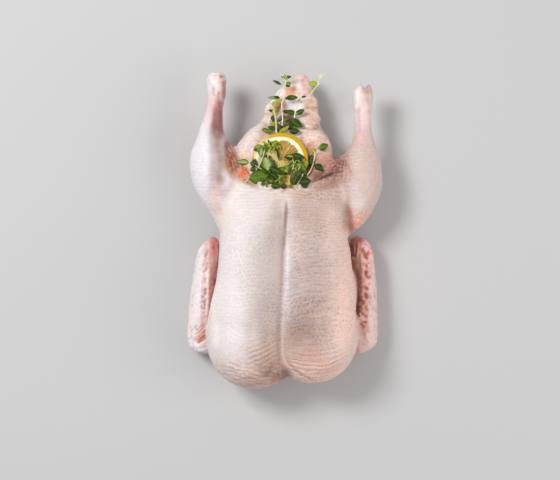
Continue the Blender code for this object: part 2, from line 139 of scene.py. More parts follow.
LEG_RIGHT = [
    (152.0, 82.4, 47.0, 0.0, 0.0, 0.0, 2.0),
    (148.0, 82.4, 47.0, 8.6, 7.5, 7.5, 2.2),
    (139.5, 82.4, 47.0, 10.4, 9.5, 9.5, 2.3),
    (130.0, 81.9, 47.0, 9.8, 9.0, 9.0, 2.2),
    (118.0, 82.4, 46.5, 8.6, 8.4, 8.4, 2.0),
    (105.0, 82.4, 46.0, 9.2, 9.4, 9.4, 2.0),
    (92.0, 82.8, 45.5, 12.2, 12.5, 12.0, 2.0),
    (82.0, 81.7, 44.5, 16.4, 17.0, 16.0, 2.0),
    (73.0, 80.3, 43.5, 20.4, 20.5, 19.5, 2.0),
    (61.0, 79.2, 42.5, 23.2, 24.0, 23.0, 2.1),
    (48.0, 78.2, 41.5, 24.4, 25.5, 25.0, 2.1),
    (36.0, 76.4, 40.5, 23.4, 25.0, 25.0, 2.1),
    (23.0, 73.4, 39.5, 20.8, 23.0, 23.5, 2.1),
    (10.0, 67.6, 38.5, 18.0, 20.0, 21.0, 2.0),
    (-2.0, 60.0, 38.0, 12.5, 15.0, 16.0, 2.0),
    (-10.0, 54.0, 38.0, 0.0, 0.0, 0.0, 2.0),
]
WING_LEFT = [
    (-6.5, -75.8, 24.0, 0.0, 0.0, 0.0, 2.0),
    (-9.0, -76.2, 24.0, 5.0, 8.5, 8.5, 2.2),
    (-14.0, -78.0, 23.5, 8.6, 11.5, 11.5, 2.3),
    (-21.0, -80.0, 23.0, 11.0, 13.5, 14.0, 2.4),
    (-33.0, -81.4, 22.0, 12.0, 15.0, 17.0, 2.4),
    (-52.0, -84.3, 21.0, 12.0, 16.5, 20.0, 2.5),
    (-73.0, -87.6, 20.5, 12.0, 17.5, 21.5, 2.5),
    (-94.0, -89.8, 20.5, 11.8, 18.0, 21.5, 2.5),
    (-110.0, -90.8, 20.5, 12.0, 17.0, 20.5, 2.5),
    (-121.0, -90.2, 20.5, 11.4, 15.0, 17.5, 2.4),
    (-127.5, -87.5, 20.5, 8.0, 11.5, 12.5, 2.2),
    (-131.0, -85.5, 20.5, 0.0, 0.0, 0.0, 2.0),
]
WING_RIGHT = [
    (-6.0, 77.6, 24.0, 0.0, 0.0, 0.0, 2.0),
    (-8.5, 78.0, 24.0, 6.6, 9.0, 8.5, 2.2),
    (-14.0, 79.3, 23.5, 10.6, 12.0, 11.5, 2.3),
    (-23.0, 81.2, 23.0, 12.2, 14.0, 14.5, 2.4),
    (-37.0, 83.4, 22.0, 11.4, 15.5, 17.5, 2.4),
    (-52.0, 85.2, 21.0, 11.0, 16.5, 20.0, 2.5),
    (-73.0, 86.6, 20.5, 10.8, 17.5, 21.5, 2.5),
    (-89.0, 86.8, 20.5, 11.0, 18.0, 21.5, 2.5),
    (-105.0, 86.6, 20.5, 11.4, 17.0, 20.5, 2.5),
    (-118.0, 85.8, 20.5, 11.4, 15.0, 17.5, 2.4),
    (-126.0, 82.5, 20.5, 8.4, 11.5, 12.5, 2.2),
    (-130.0, 80.0, 20.5, 0.0, 0.0, 0.0, 2.0),
]
# Keel line: y, x, depth of the valley
KEEL = [
    (-152.0, -0.4, 11.0),
    (-140.0, -1.0, 7.5),
    (-120.0, -3.2, 4.6),
    (-100.0, -4.6, 3.4),
    (-75.0, -4.8, 2.6),
    (-45.0, -2.2, 1.9),
    (0.0, -0.6, 1.6),
    (28.0, 2.4, 1.2),
    (44.0, 3.0, 0.3),
]


def along(table, ys, column, squared=False):
    """Smooth values of a column at many y. Half widths go by their squares, which rounds the tips."""
    rows = np.array(sorted(table), float)
    xs, vs = rows[:, 0], rows[:, column] ** (2 if squared else 1)
    h = np.diff(xs)
    chord = np.diff(vs) / h
    slope = np.zeros(len(xs))
    same = chord[:-1] * chord[1:] > 0
    slope[1:-1][same] = 2 * chord[:-1][same] * chord[1:][same] / (chord[:-1][same] + chord[1:][same])
    if squared:
        slope[0], slope[-1] = chord[0], chord[-1]
    y = np.clip(ys, xs[0], xs[-1])
    i = np.clip(np.searchsorted(xs, y) - 1, 0, len(xs) - 2)
    t = (y - xs[i]) / h[i]
    value = (
        (2 * t**3 - 3 * t**2 + 1) * vs[i]
        + (t**3 - 2 * t**2 + t) * h[i] * slope[i]
        + (-2 * t**3 + 3 * t**2) * vs[i + 1]
        + (t**3 - t**2) * h[i] * slope[i + 1]
    )
    return np.sqrt(np.maximum(value, 0.0)) if squared else value


# ---- the field -------------------------------------------------------------------------------------------------------
GRID = 1.2
XS = np.arange(-108.0, 108.1, GRID)
YS = np.arange(-172.0, 172.1, GRID)
ZS = np.arange(-2.4, 106.0, GRID)


class Field:
    """Signed distances on the grid, in millimetres, negative inside."""

    def __init__(self):
        self.f = np.full((len(XS), len(YS), len(ZS)), 60.0, np.float32)
        self.parts = {name: self.f.copy() for name in ("torso", "legs", "wings")}

    def window(self, low, high, margin):
        cuts = []
        for axis, line in enumerate((XS, YS, ZS)):
            a = int(np.clip(np.searchsorted(line, low[axis] - margin), 0, len(line) - 1))
            b = int(np.clip(np.searchsorted(line, high[axis] + margin) + 1, a + 1, len(line)))
            cuts.append(slice(a, b))
        return tuple(cuts)

    def mix(self, make, low, high, k, sign, part=None):
        at = self.window(low, high, k + 2.5)
        x, y, z = XS[at[0]][:, None, None], YS[at[1]][None, :, None], ZS[at[2]][None, None, :]
        new = make(x, y, z)
        if part:
            self.parts[part][at] = np.minimum(self.parts[part][at], new)
        old = self.f[at]
        if sign > 0:
            blend = np.maximum(k - np.abs(old - new), 0.0) / k
            self.f[at] = np.minimum(old, new) - blend * blend * k / 4
        else:
            blend = np.maximum(k - np.abs(old + new), 0.0) / k
            self.f[at] = np.maximum(old, -new) + blend * blend * k / 4

    def add(self, shape, k, part="torso"):
        self.mix(*shape, k, 1, part)

    def cut(self, shape, k):
        self.mix(*shape, k, -1)


def loft(table, dent=None):
    """A superellipse loft along Y. dent(x, y) is how far the upper side is pressed down."""
    rows = np.array(table)
    low = ((rows[:, 1] - rows[:, 3]).min(), rows[:, 0].min(), (rows[:, 2] - rows[:, 5]).min())
    high = ((rows[:, 1] + rows[:, 3]).max(), rows[:, 0].max(), (rows[:, 2] + rows[:, 4]).max())

    def make(x, y, z):
        line = y[0, :, 0]
        x0, z0, n = (along(table, line, c)[None, :, None] for c in (1, 2, 6))
        wide, up, down = (np.maximum(along(table, line, c, True), 0.4)[None, :, None] for c in (3, 4, 5))
        dx = np.abs(x - x0)
        raw = z - z0
        if dent is not None:
            raw = raw + dent(x, y) * np.clip((raw + 10.0) / 20.0, 0.0, 1.0)
        high_side = np.where(raw > 0, up, down)
        dz = np.abs(raw)
        a, b = dx / wide, dz / high_side
        g = (a**n + b**n) ** (1 / n)
        slope = np.sqrt((a ** (n - 1) / wide) ** 2 + (b ** (n - 1) / high_side) ** 2) * np.maximum(g, 1e-3) ** (1 - n)
        d = (g - 1) / np.maximum(slope, 1e-3)
        d = np.maximum(d, -np.minimum(wide, high_side))
        past = np.maximum(np.maximum(line.min() * 0 + rows[:, 0].min() - y, y - rows[:, 0].max()), 0.0)
        return np.where(past > 0, np.sqrt(np.maximum(d, 0.0) ** 2 + past**2), d)

    return make, low, high


def ellipsoid(centre, radii, turn=0.0, lean=0.0):
    """A stretched ball, turned about Z and then leant about its own X, in degrees."""
    m = Matrix.Rotation(math.radians(turn), 3, "Z") @ Matrix.Rotation(math.radians(lean), 3, "X")
    inv = np.array(m.transposed())
    c, r = np.array(centre, float), np.array(radii, float)
    reach = np.abs(np.array(m)) @ r

    def make(x, y, z):
        px, py, pz = x - c[0], y - c[1], z - c[2]
        q = [inv[i, 0] * px + inv[i, 1] * py + inv[i, 2] * pz for i in range(3)]
        k0 = np.sqrt(sum((q[i] / r[i]) ** 2 for i in range(3)))
        k1 = np.sqrt(sum((q[i] / r[i] ** 2) ** 2 for i in range(3)))
        return k0 * (k0 - 1) / np.maximum(k1, 1e-6)

    return make, c - reach, c + reach


def limb(points, radii):
    """A round-ended tube through points, with its own radius at each."""
    pts, rs = [np.array(p, float) for p in points], list(radii)
    low = np.min([p - r for p, r in zip(pts, rs)], axis=0)
    high = np.max([p + r for p, r in zip(pts, rs)], axis=0)

    def make(x, y, z):
        best = None
        for a, b, ra, rb in zip(pts, pts[1:], rs, rs[1:]):
            d = b - a
            px, py, pz = x - a[0], y - a[1], z - a[2]
            t = np.clip((px * d[0] + py * d[1] + pz * d[2]) / max(float(d @ d), 1e-9), 0.0, 1.0)
            r = ra + (rb - ra) * t
            one = np.sqrt((px - t * d[0]) ** 2 + (py - t * d[1]) ** 2 + (pz - t * d[2]) ** 2) - r
            best = one if best is None else np.minimum(best, one)
        return best

    return make, low, high


def keel_dent(x, y):
    line = y[0, :, 0]
    at = along(KEEL, line, 1)[None, :, None]
    depth = along(KEEL, line, 2)[None, :, None]
    inside = ((line >= KEEL[0][0]) & (line <= KEEL[-1][0] + 6))[None, :, None]
    d = x - at
    broad = ramp(-line, 20.0, 120.0)[None, :, None]  # the valley widens towards the neck
    soft = np.where(d < 0, np.exp(-((d / (5.0 + 8.0 * broad)) ** 2)), np.exp(-((d / (3.0 + 3.5 * broad)) ** 2)))
    return inside * depth * soft


LEMON_RADIUS = 28.3
LEMON_THICK = 6.5
LEMON_TILT = 6.0
LEMON_CENTRE = (-4.0, 73.8, 60.0)
SEAT = Matrix.Translation(Vector(LEMON_CENTRE)) @ Matrix.Rotation(math.radians(LEMON_TILT), 4, "X")


def seat_shape():
    """The way down to the slice, straight from above."""
    inv = np.array(SEAT.inverted())
    deep = LEMON_RADIUS * math.cos(math.radians(LEMON_TILT)) + LEMON_THICK / 2 * math.sin(math.radians(LEMON_TILT))
    low, high = np.array([-33.0, 47.0, 36.0]), np.array([26.0, 103.0, 108.0])

    def make(x, y, z):
        a, b = (x - LEMON_CENTRE[0]) / (LEMON_RADIUS + 0.2), (y - LEMON_CENTRE[1]) / (deep + 0.2)
        side = (np.sqrt(a**2 + b**2) - 1) * deep
        below = -(inv[2, 0] * x + inv[2, 1] * y + inv[2, 2] * z + inv[2, 3] + LEMON_THICK / 2 + 0.6)
        return np.maximum(side, below)

    return make, low, high


def build_field():
    f = Field()
    f.add(loft(TRUNK, keel_dent), 0.1)
    # breast lobes
    f.add(ellipsoid((-31.0, -115.0, 47.5), (50.6, 50.6, 46.0)), 2.5)
    f.add(ellipsoid((29.0, -111.6, 47.5), (48.0, 48.0, 46.0)), 2.5)
    f.add(ellipsoid((0.0, -128.0, 17.0), (40.0, 24.0, 17.0)), 5.0)
    # legs, with the two round heads of each ankle
    f.add(loft(LEG_LEFT), 11.0, "legs")
    f.add(loft(LEG_RIGHT), 8.0, "legs")
    for centre, radii in (
        ((-75.8, 158.0, 47.5), (5.2, 6.6, 7.6)),
        ((-66.4, 157.6, 47.0), (5.0, 6.6, 7.6)),
        ((78.0, 146.0, 47.5), (5.2, 6.4, 7.2)),
        ((87.6, 147.2, 47.0), (4.6, 5.8, 6.8)),
    ):
        f.add(ellipsoid(centre, radii), 2.5, "legs")
    f.cut(ellipsoid(plan(365.0, 83.6, 50.0), (2.3, 4.4, 14.0), 8.0), 1.0)
    # skin webs between legs and vent
    f.add(ellipsoid((-47.0, 67.5, 36.0), (25.0, 24.0, 21.0)), 8.0)
    f.add(ellipsoid((60.5, 57.5, 36.0), (25.0, 21.0, 21.0)), 7.0)
    # wings
    f.add(loft(WING_LEFT), 2.5, "wings")
    f.add(loft(WING_RIGHT), 2.5, "wings")
    f.add(ellipsoid((-78.0, -106.0, 21.0), (13.0, 20.0, 16.0)), 6.0)
    f.add(ellipsoid((76.0, -104.0, 21.0), (13.0, 20.0, 16.0)), 6.0)
    f.add(ellipsoid((74.0, -60.0, 22.0), (6.5, 26.0, 12.0), -3.0), 4.0)
    # tail flaps
    f.add(ellipsoid((-31.5, 91.5, 40.0), (13.5, 21.0, 16.0), -32.0), 6.0)
    f.add(ellipsoid((33.0, 91.5, 41.0), (13.0, 21.0, 17.0), 30.0), 6.0)
    f.add(ellipsoid((25.0, 114.0, 33.0), (11.0, 13.0, 14.0), 10.0), 4.0)
    # vent, the hollow behind the slice and the seam along the tail
    f.cut(ellipsoid((0.0, 70.0, 76.0), (40.0, 24.5, 27.0)), 3.0)
    f.cut(ellipsoid((-2.0, 112.0, 52.0), (14.0, 15.0, 20.0)), 4.0)
    f.cut(ellipsoid((-3.5, 128.0, 47.0), (7.0, 30.0, 12.0), -10.0), 4.0)
    # the tail's walls, with the bulges of its right wall
    f.add(limb([plan(301.6, 79.6, 30), plan(305.6, 90, 31)], (7.0, 7.0)), 3.0)
    f.add(limb([plan(307, 97, 33), plan(311, 103, 33)], (7.6, 7.0)), 2.0)
    f.add(limb([plan(308, 111, 34), plan(312, 115, 34)], (6.6, 6.8)), 1.8)
    f.add(limb([plan(305, 121, 36), plan(313, 124, 35)], (5.4, 6.0)), 1.6)
    f.add(limb([plan(297, 82, 33), plan(286, 90, 33.5), plan(275, 103, 35), plan(270, 111, 36)], (4.6, 4.4, 5.0, 5.6)), 2.6)
    f.add(limb([plan(270, 108, 38), plan(272, 109, 38)], (4.2, 3.4)), 1.5)
    f.add(limb([plan(295, 100, 32), plan(298, 108, 33)], (4.0, 4.6)), 2.0)
    f.add(limb([plan(246, 150, 50), plan(252, 136, 49), plan(262, 126, 44)], (4.0, 4.6, 3.6)), 4.0)
    f.add(limb([plan(306, 133, 48), plan(316.5, 134.4, 50), plan(325.2, 143, 50), plan(327.6, 154, 48)], (3.6, 4.4, 4.6, 4.0)), 4.0)
    f.cut(seat_shape(), 1.5)
    # the belly skin's edge, a thin rolled lip
    rim = [(244, 168), (250, 178), (265, 185.5), (285, 188), (302, 186), (318, 179), (330, 170)]
    tops = (62.5, 67.0, 70.8, 72.2, 71.2, 67.4, 63.0)
    f.add(limb([plan(u, w, h) for (u, w), h in zip(rim, tops)], (1.2, 1.3, 1.3, 1.3, 1.3, 1.3, 1.0)), 3.0)
    f.cut(ellipsoid(plan(336.8, 151.0, 40.0), (3.6, 9.6, 60.0), -8.0), 2.0)
    f.cut(ellipsoid(plan(234.4, 141.0, 40.0), (3.4, 5.4, 60.0), 12.0), 2.0)
    # flat back
    f.f = np.maximum(f.f, -ZS[None, None, :].astype(np.float32))
    return f


def surface(f, lines):
    """Surface nets: one vertex in each cell that the surface crosses, one quad at each crossed grid edge."""
    inside = f < 0
    nx, ny, nz = (n - 1 for n in f.shape)
    count = np.zeros((nx, ny, nz), np.int8)
    for i in (0, 1):
        for j in (0, 1):
            for k in (0, 1):
                count += inside[i : nx + i, j : ny + j, k : nz + k]
    active = (count > 0) & (count < 8)
    number = np.full(active.shape, -1, np.int64)
    number[active] = np.arange(active.sum())
    cell = np.argwhere(active)
    total, hits = np.zeros((len(cell), 3)), np.zeros(len(cell))
    corner = [(i, j, k) for i in (0, 1) for j in (0, 1) for k in (0, 1)]
    for a in corner:
        for b in corner:
            if sum(abs(p - q) for p, q in zip(a, b)) != 1 or a > b:
                continue
            fa = f[cell[:, 0] + a[0], cell[:, 1] + a[1], cell[:, 2] + a[2]].astype(float)
            fb = f[cell[:, 0] + b[0], cell[:, 1] + b[1], cell[:, 2] + b[2]].astype(float)
            cross = (fa < 0) != (fb < 0)
            t = np.where(cross, fa / np.where(cross, fa - fb, 1.0), 0.0)
            pos = np.array(a)[None, :] + (np.array(b) - np.array(a))[None, :] * t[:, None]
            total[cross] += pos[cross]
            hits[cross] += 1
    local = total / hits[:, None]
    verts = np.empty_like(local)
    for axis in range(3):
        line = lines[axis]
        verts[:, axis] = line[cell[:, axis]] + local[:, axis] * (line[1] - line[0])
    quads = []
    for axis in range(3):
        o1, o2 = (axis + 1) % 3, (axis + 2) % 3
        a = [slice(1, -1)] * 3
        b = [slice(1, -1)] * 3
        a[axis], b[axis] = slice(0, -1), slice(1, None)
        sa, sb = inside[tuple(a)], inside[tuple(b)]
        at = np.argwhere(sa != sb)
        out = sa[tuple(at.T)]  # inside first, so the surface faces +axis
        base = at.copy()
        base[:, o1] += 1
        base[:, o2] += 1
        ring = []
        for d1, d2 in ((-1, -1), (0, -1), (0, 0), (-1, 0)):
            c = base.copy()
            c[:, o1] += d1
            c[:, o2] += d2
            ring.append(number[tuple(c.T)])
        q = np.stack(ring, 1)
        q[~out] = q[~out][:, ::-1]
        quads.append(q)
    return verts, np.concatenate(quads)


def relax(v, faces, rounds, push=0.5, back=-0.52):
    """Evens out a mesh without shrinking it."""
    edges = np.concatenate([faces[:, [i, (i + 1) % faces.shape[1]]] for i in range(faces.shape[1])])
    a, b = np.concatenate([edges[:, 0], edges[:, 1]]), np.concatenate([edges[:, 1], edges[:, 0]])
    n = np.bincount(a, minlength=len(v)).astype(float)
    for r in range(rounds):
        for w in (push, back):
            mean = np.stack([np.bincount(a, v[b, c], minlength=len(v)) for c in range(3)], 1) / n[:, None]
            v = v + w * (mean - v)
    return v


def normals_of(v, faces):
    d = v[faces[:, 2]] - v[faces[:, 0]]
    if faces.shape[1] == 4:
        e = v[faces[:, 3]] - v[faces[:, 1]]
    else:
        e = v[faces[:, 1]] - v[faces[:, 0]]
        d, e = e, d
    n = np.cross(d, e)
    total = np.stack([sum(np.bincount(faces[:, i], n[:, c], minlength=len(v)) for i in range(faces.shape[1])) for c in range(3)], 1)
    return total / np.maximum(np.linalg.norm(total, axis=1, keepdims=True), 1e-9)


def mesh_object(name, v, faces, smooth=True):
    mesh = bpy.data.meshes.new(name)
    mesh.from_pydata((v * MM).tolist(), [], faces.tolist())
    if smooth:
        mesh.shade_smooth()
    obj = bpy.data.objects.new(name, mesh)
    bpy.context.scene.collection.objects.link(obj)
    return obj


def sample(grid, v):
    """The grid's value at points, between its corners."""
    low = np.array([XS[0], YS[0], ZS[0]])
    q = (v - low) / GRID
    q = np.clip(q, 0.0, np.array(grid.shape) - 1.001)
    c = q.astype(np.int64)
    f = q - c
    total = np.zeros(len(v))
    for i in (0, 1):
        for j in (0, 1):
            for k in (0, 1):
                w = (f[:, 0] if i else 1 - f[:, 0]) * (f[:, 1] if j else 1 - f[:, 1]) * (f[:, 2] if k else 1 - f[:, 2])
                total += w * grid[c[:, 0] + i, c[:, 1] + j, c[:, 2] + k]
    return total


def split_quads(v, quads):
    """Triangles, cut along the shorter diagonal."""
    a = np.linalg.norm(v[quads[:, 0]] - v[quads[:, 2]], axis=1)
    b = np.linalg.norm(v[quads[:, 1]] - v[quads[:, 3]], axis=1)
    first = np.where((a <= b)[:, None], quads[:, [0, 1, 2]], quads[:, [0, 1, 3]])
    second = np.where((a <= b)[:, None], quads[:, [0, 2, 3]], quads[:, [1, 2, 3]])
    return np.concatenate([first, second])


def lighten(v, faces, weight, target):
    """Fewer triangles where the weight is high."""
    obj = mesh_object("draft", v, faces)
    group = obj.vertex_groups.new(name="keep")
    for level in range(1, 11):
        at = np.nonzero(np.round(weight * 10).astype(int) == level)[0]
        if len(at):
            group.add(at.tolist(), level / 10, "REPLACE")
    change = obj.modifiers.new("lighten", "DECIMATE")
    change.vertex_group = "keep"
    change.vertex_group_factor = 4.0
    change.invert_vertex_group = True
    change.ratio = target / len(faces)
    change.use_collapse_triangulate = True
    result = obj.evaluated_get(bpy.context.evaluated_depsgraph_get()).to_mesh()
    out_v = np.empty(len(result.vertices) * 3)
    result.vertices.foreach_get("co", out_v)
    out_f = np.empty(len(result.polygons) * 3, np.int64)
    result.polygons.foreach_get("vertices", out_f)
    mesh = obj.data
    bpy.data.objects.remove(obj)
    bpy.data.meshes.remove(mesh)
    return out_v.reshape(-1, 3) / MM, out_f.reshape(-1, 3)


# ---- brushes in plan steps -------------------------------------------------------------------------------------------
def blob(u, w, cu, cw, ru, rw, turn=0.0, soft=0.6, rough=0.0):
    """1 inside an oval, fading to 0 past its edge."""
    a = math.radians(turn)
    du, dw = u - cu, w - cw
    d = np.hypot((du * math.cos(a) + dw * math.sin(a)) / ru, (-du * math.sin(a) + dw * math.cos(a)) / rw) + rough
    return 1.0 - ramp(d, 1.0 - soft, 1.0 + 0.35 * soft)


def stroke(u, w, points):
    """Distance to a line through points, and how far along it the nearest place lies, 0..1."""
    best, where = np.full(len(u), 1e9), np.zeros(len(u))
    for i, (a, b) in enumerate(zip(points, points[1:])):
        dx, dy = b[0] - a[0], b[1] - a[1]
        t = np.clip(((u - a[0]) * dx + (w - a[1]) * dy) / (dx * dx + dy * dy), 0.0, 1.0)
        d = np.hypot(u - a[0] - t * dx, w - a[1] - t * dy)
        near = d < best
        best[near], where[near] = d[near], (i + t[near]) / (len(points) - 1)
    return best, where


def line_mask(u, w, points, width, fade=True):
    d, t = stroke(u, w, points)
    m = np.exp(-((d / width) ** 2))
    return m * np.clip(4 * t * (1 - t) * 1.6, 0.0, 1.0) if fade else m


def ridged(p, size, seed, octaves=2):
    """Sharp creases between rounded bulges, in -1..1, low in the creases."""
    total, amp, norm = 0.0, 1.0, 0.0
    for o in range(octaves):
        total = total + amp * (2.0 * np.minimum(np.abs(noise(p, np.asarray(size, float) / 1.8**o, seed + 5 * o)) * 2.2, 1.0) - 1.0)
        norm += amp
        amp *= 0.5
    return total / norm


# ---- build the bird --------------------------------------------------------------------------------------------------
field = build_field()
v, quads = surface(field.f, (XS, YS, ZS))
v = relax(v, quads, 3)
faces = split_quads(v, quads)
normal = normals_of(v, faces)
under = np.clip(ramp(-normal[:, 2], -0.35, 0.25) + ramp(-v[:, 2], -7.0, -1.0), 0.0, 1.0) * ramp(-v[:, 2], -34.0, -22.0)
full = len(faces)
v, faces = lighten(v, faces, 1.0 - under, 196000)
normal = normals_of(v, faces)
print("duck", full, "triangles made", len(faces), "flat side up", (normal[:, 2] > 0.3).sum(), flush=True)

U, W = 284.5 + v[:, 0] / STEP, 230.5 - v[:, 1] / STEP
X, Y, Z = v.T
NZ = normal[:, 2]
d_torso, d_legs, d_wings = (sample(field.parts[n], v) for n in ("torso", "legs", "wings"))
LEG = ramp(d_torso - d_legs, -4.0, 5.0)
WING = ramp(np.minimum(d_torso, d_legs) - d_wings, -1.5, 1.5)
BODY = (1 - LEG) * (1 - WING)
LEFT, RIGHT = U < 284.5, U >= 284.5
TOP = ramp(NZ, -0.15, 0.35)

# Skin coordinates in millimetres: across the rows and along them, wrapped round trunk, legs and wings
around_trunk = 64.0 * np.arctan2(X, np.maximum(Z - 30.0, 0.0) + np.where(Z < 30.0, (Z - 30.0), 0.0) + 1e-6)
leg_x = np.where(LEFT, along(LEG_LEFT, Y, 1), along(LEG_RIGHT, Y, 1))
leg_r = np.maximum(np.where(LEFT, along(LEG_LEFT, Y, 3, True), along(LEG_RIGHT, Y, 3, True)), 8.0)
wing_x = np.where(LEFT, along(WING_LEFT, Y, 1), along(WING_RIGHT, Y, 1))
around_leg = leg_x + leg_r * np.arctan2(X - leg_x, Z - 43.0)
around_wing = wing_x + 15.0 * np.arctan2(X - wing_x, Z - 18.0)
across = around_trunk + LEG * (around_leg - around_trunk)
across = np.where(WING > 0.5, around_wing, across)
rows = np.where(Y < -100.0, -100.0 - 48.0 * np.arctan2(-100.0 - Y, Z - 47.0), Y)
rows = rows + 3.2 * fbm(v, (34.0, 22.0, 34.0), 11) + 1.0 * noise(v, 10.0, 12)
rise = (1 - np.exp(-np.clip(U - 287, 0, 80) / 26.0)) * 26.0 * 0.36
rows = rows - BODY * (rise * ramp(-W, -345, -290) * ramp(W, 200, 235) + 0.03 * (U - 250) * LEFT)
across = across + 2.4 * fbm(v, 24.0, 13)

relief = 0.42 * fbm(v, 26.0, 1) + 0.2 * fbm(v, 10.0, 2)
fine = np.zeros(len(v))  # what also darkens the creases

# slanting wrinkles on the left lobe, then the puckered skin along its lower end
m = blob(U, W, 262, 350, 17, 16, -25, rough=0.2 * noise(v, 9.0, 3)) * BODY * TOP
c = W + 0.42 * U + 1.8 * noise(v, 16.0, 4)
fine += m * 0.62 * (2 * np.abs(np.sin(np.pi * c / 4.9)) ** 0.7 - 1.3)
low_left = ramp(W + 0.10 * (U - 250), 352, 372) * ramp(-U, -288, -278) * BODY
fine += low_left * 0.60 * ridged(v + 1.5 * fbm(v, 6.0, 23)[:, None], (8.0, 4.6, 5.0), 21, 3)
c = W - 0.25 * U + 2.4 * noise(v, 9.0, 33)
fine += low_left * 0.32 * (2 * np.abs(np.sin(np.pi * c / 4.6)) ** 0.7 - 1.3)
m = blob(U, W, 232, 366, 20, 10, 12) * BODY
fine += m * 0.4 * ridged(v, (6.0, 4.0, 4.5), 22)
# pleats on the right lobe
low_right = ramp(W, 338, 366) * ramp(U, 285, 292) * BODY
fine += low_right * 0.42 * (2 * np.abs(np.sin(np.pi * (rows + 0.8 * noise(v, 9.0, 5)) / 5.2)) ** 0.8 - 1.2)
mid_right = blob(U, W, 315, 300, 34, 52) * BODY * TOP
fine += mid_right * 0.14 * np.sin(2 * np.pi * rows / 6.2)
edge = blob(U, W, 353, 300, 7, 60) + blob(U, W, 212, 300, 7, 50)
fine += edge * BODY * 0.3 * ridged(v, 7.0, 24)

# wrinkled skin between legs and vent
web_left = blob(U, W, 235, 160, 11, 24, -12, rough=0.15 * noise(v, 8.0, 6)) * TOP
fine += web_left * 0.5 * ridged(v, (4.0, 5.0, 4.6), 25)
c = U - 0.42 * (W - 140) + 1.4 * noise(v, 9.0, 35)
fine += web_left * 0.44 * (2 * np.abs(np.sin(np.pi * c / 3.5)) ** 0.8 - 1.25)
fan = np.arctan2(U - 234.0, W - 140.0) * 20.0 + 0.8 * noise(v, 8.0, 36)
fan_left = blob(U, W, 244, 161, 9, 13, 20, rough=0.1 * noise(v, 8.0, 37)) * TOP
fine += fan_left * 0.26 * (2 * np.abs(np.sin(np.pi * fan / 3.2)) ** 0.8 - 1.25)
brim = line_mask(U, W, [(236, 172), (244, 179), (252, 184.5), (265, 188), (285, 190.5), (303, 188), (318, 182)], 3.2) * TOP
fine += brim * 0.3 * ridged(v, (4.0, 4.0, 4.0), 38)
fan = np.arctan2(W - 150.0, U - 346.0) * 20.0 + 1.3 * noise(v, 7.0, 7)
ring = np.hypot(W - 150.0, U - 346.0) + 1.6 * noise(v, 7.0, 9)
web_right = blob(U, W, 336, 169, 20, 14, -20, rough=0.15 * noise(v, 8.0, 8)) * TOP
fine += web_right * 0.42 * (2 * np.abs(np.sin(np.pi * fan / 3.6)) ** 0.8 - 1.25)
fine += web_right * 0.28 * (2 * np.abs(np.sin(np.pi * ring / 3.8)) ** 0.8 - 1.25)
fine += web_right * 0.3 * ridged(v, (4.4, 4.0, 4.5), 26)
knee = blob(U, W, 356, 224, 12, 16, 35) * LEG * TOP
fine += knee * 0.45 * ridged(v, (5.0, 7.0, 5.0), 27)
# tail and flaps
tail = ramp(-W, -136, -124) * BODY * blob(U, W, 294, 104, 40, 44, soft=0.2) * TOP
fine += tail * 0.72 * ridged(v, (7.0, 3.8, 5.0), 28, 3)
flaps = (blob(U, W, 317, 144, 17, 19) + blob(U, W, 252, 143, 15, 20)) * BODY * TOP
fine += flaps * 0.3 * ridged(v, (7.0, 5.0, 6.0), 29)
spoke = np.arctan2(W - 168, U - 284) * 30.0 + 1.6 * noise(v, 8.0, 34)
fine += flaps * 0.26 * (2 * np.abs(np.sin(np.pi * spoke / 5.4)) ** 0.8 - 1.25)
# legs
fine += LEG * TOP * 0.16 * ridged(v, (6.0, 9.0, 6.0), 30)
ankle = (blob(U, W, 217, 82, 14, 14) + blob(U, W, 364, 93, 14, 14)) * LEG
fine += ankle * 0.4 * ridged(v, (4.5, 8.0, 5.0), 31)

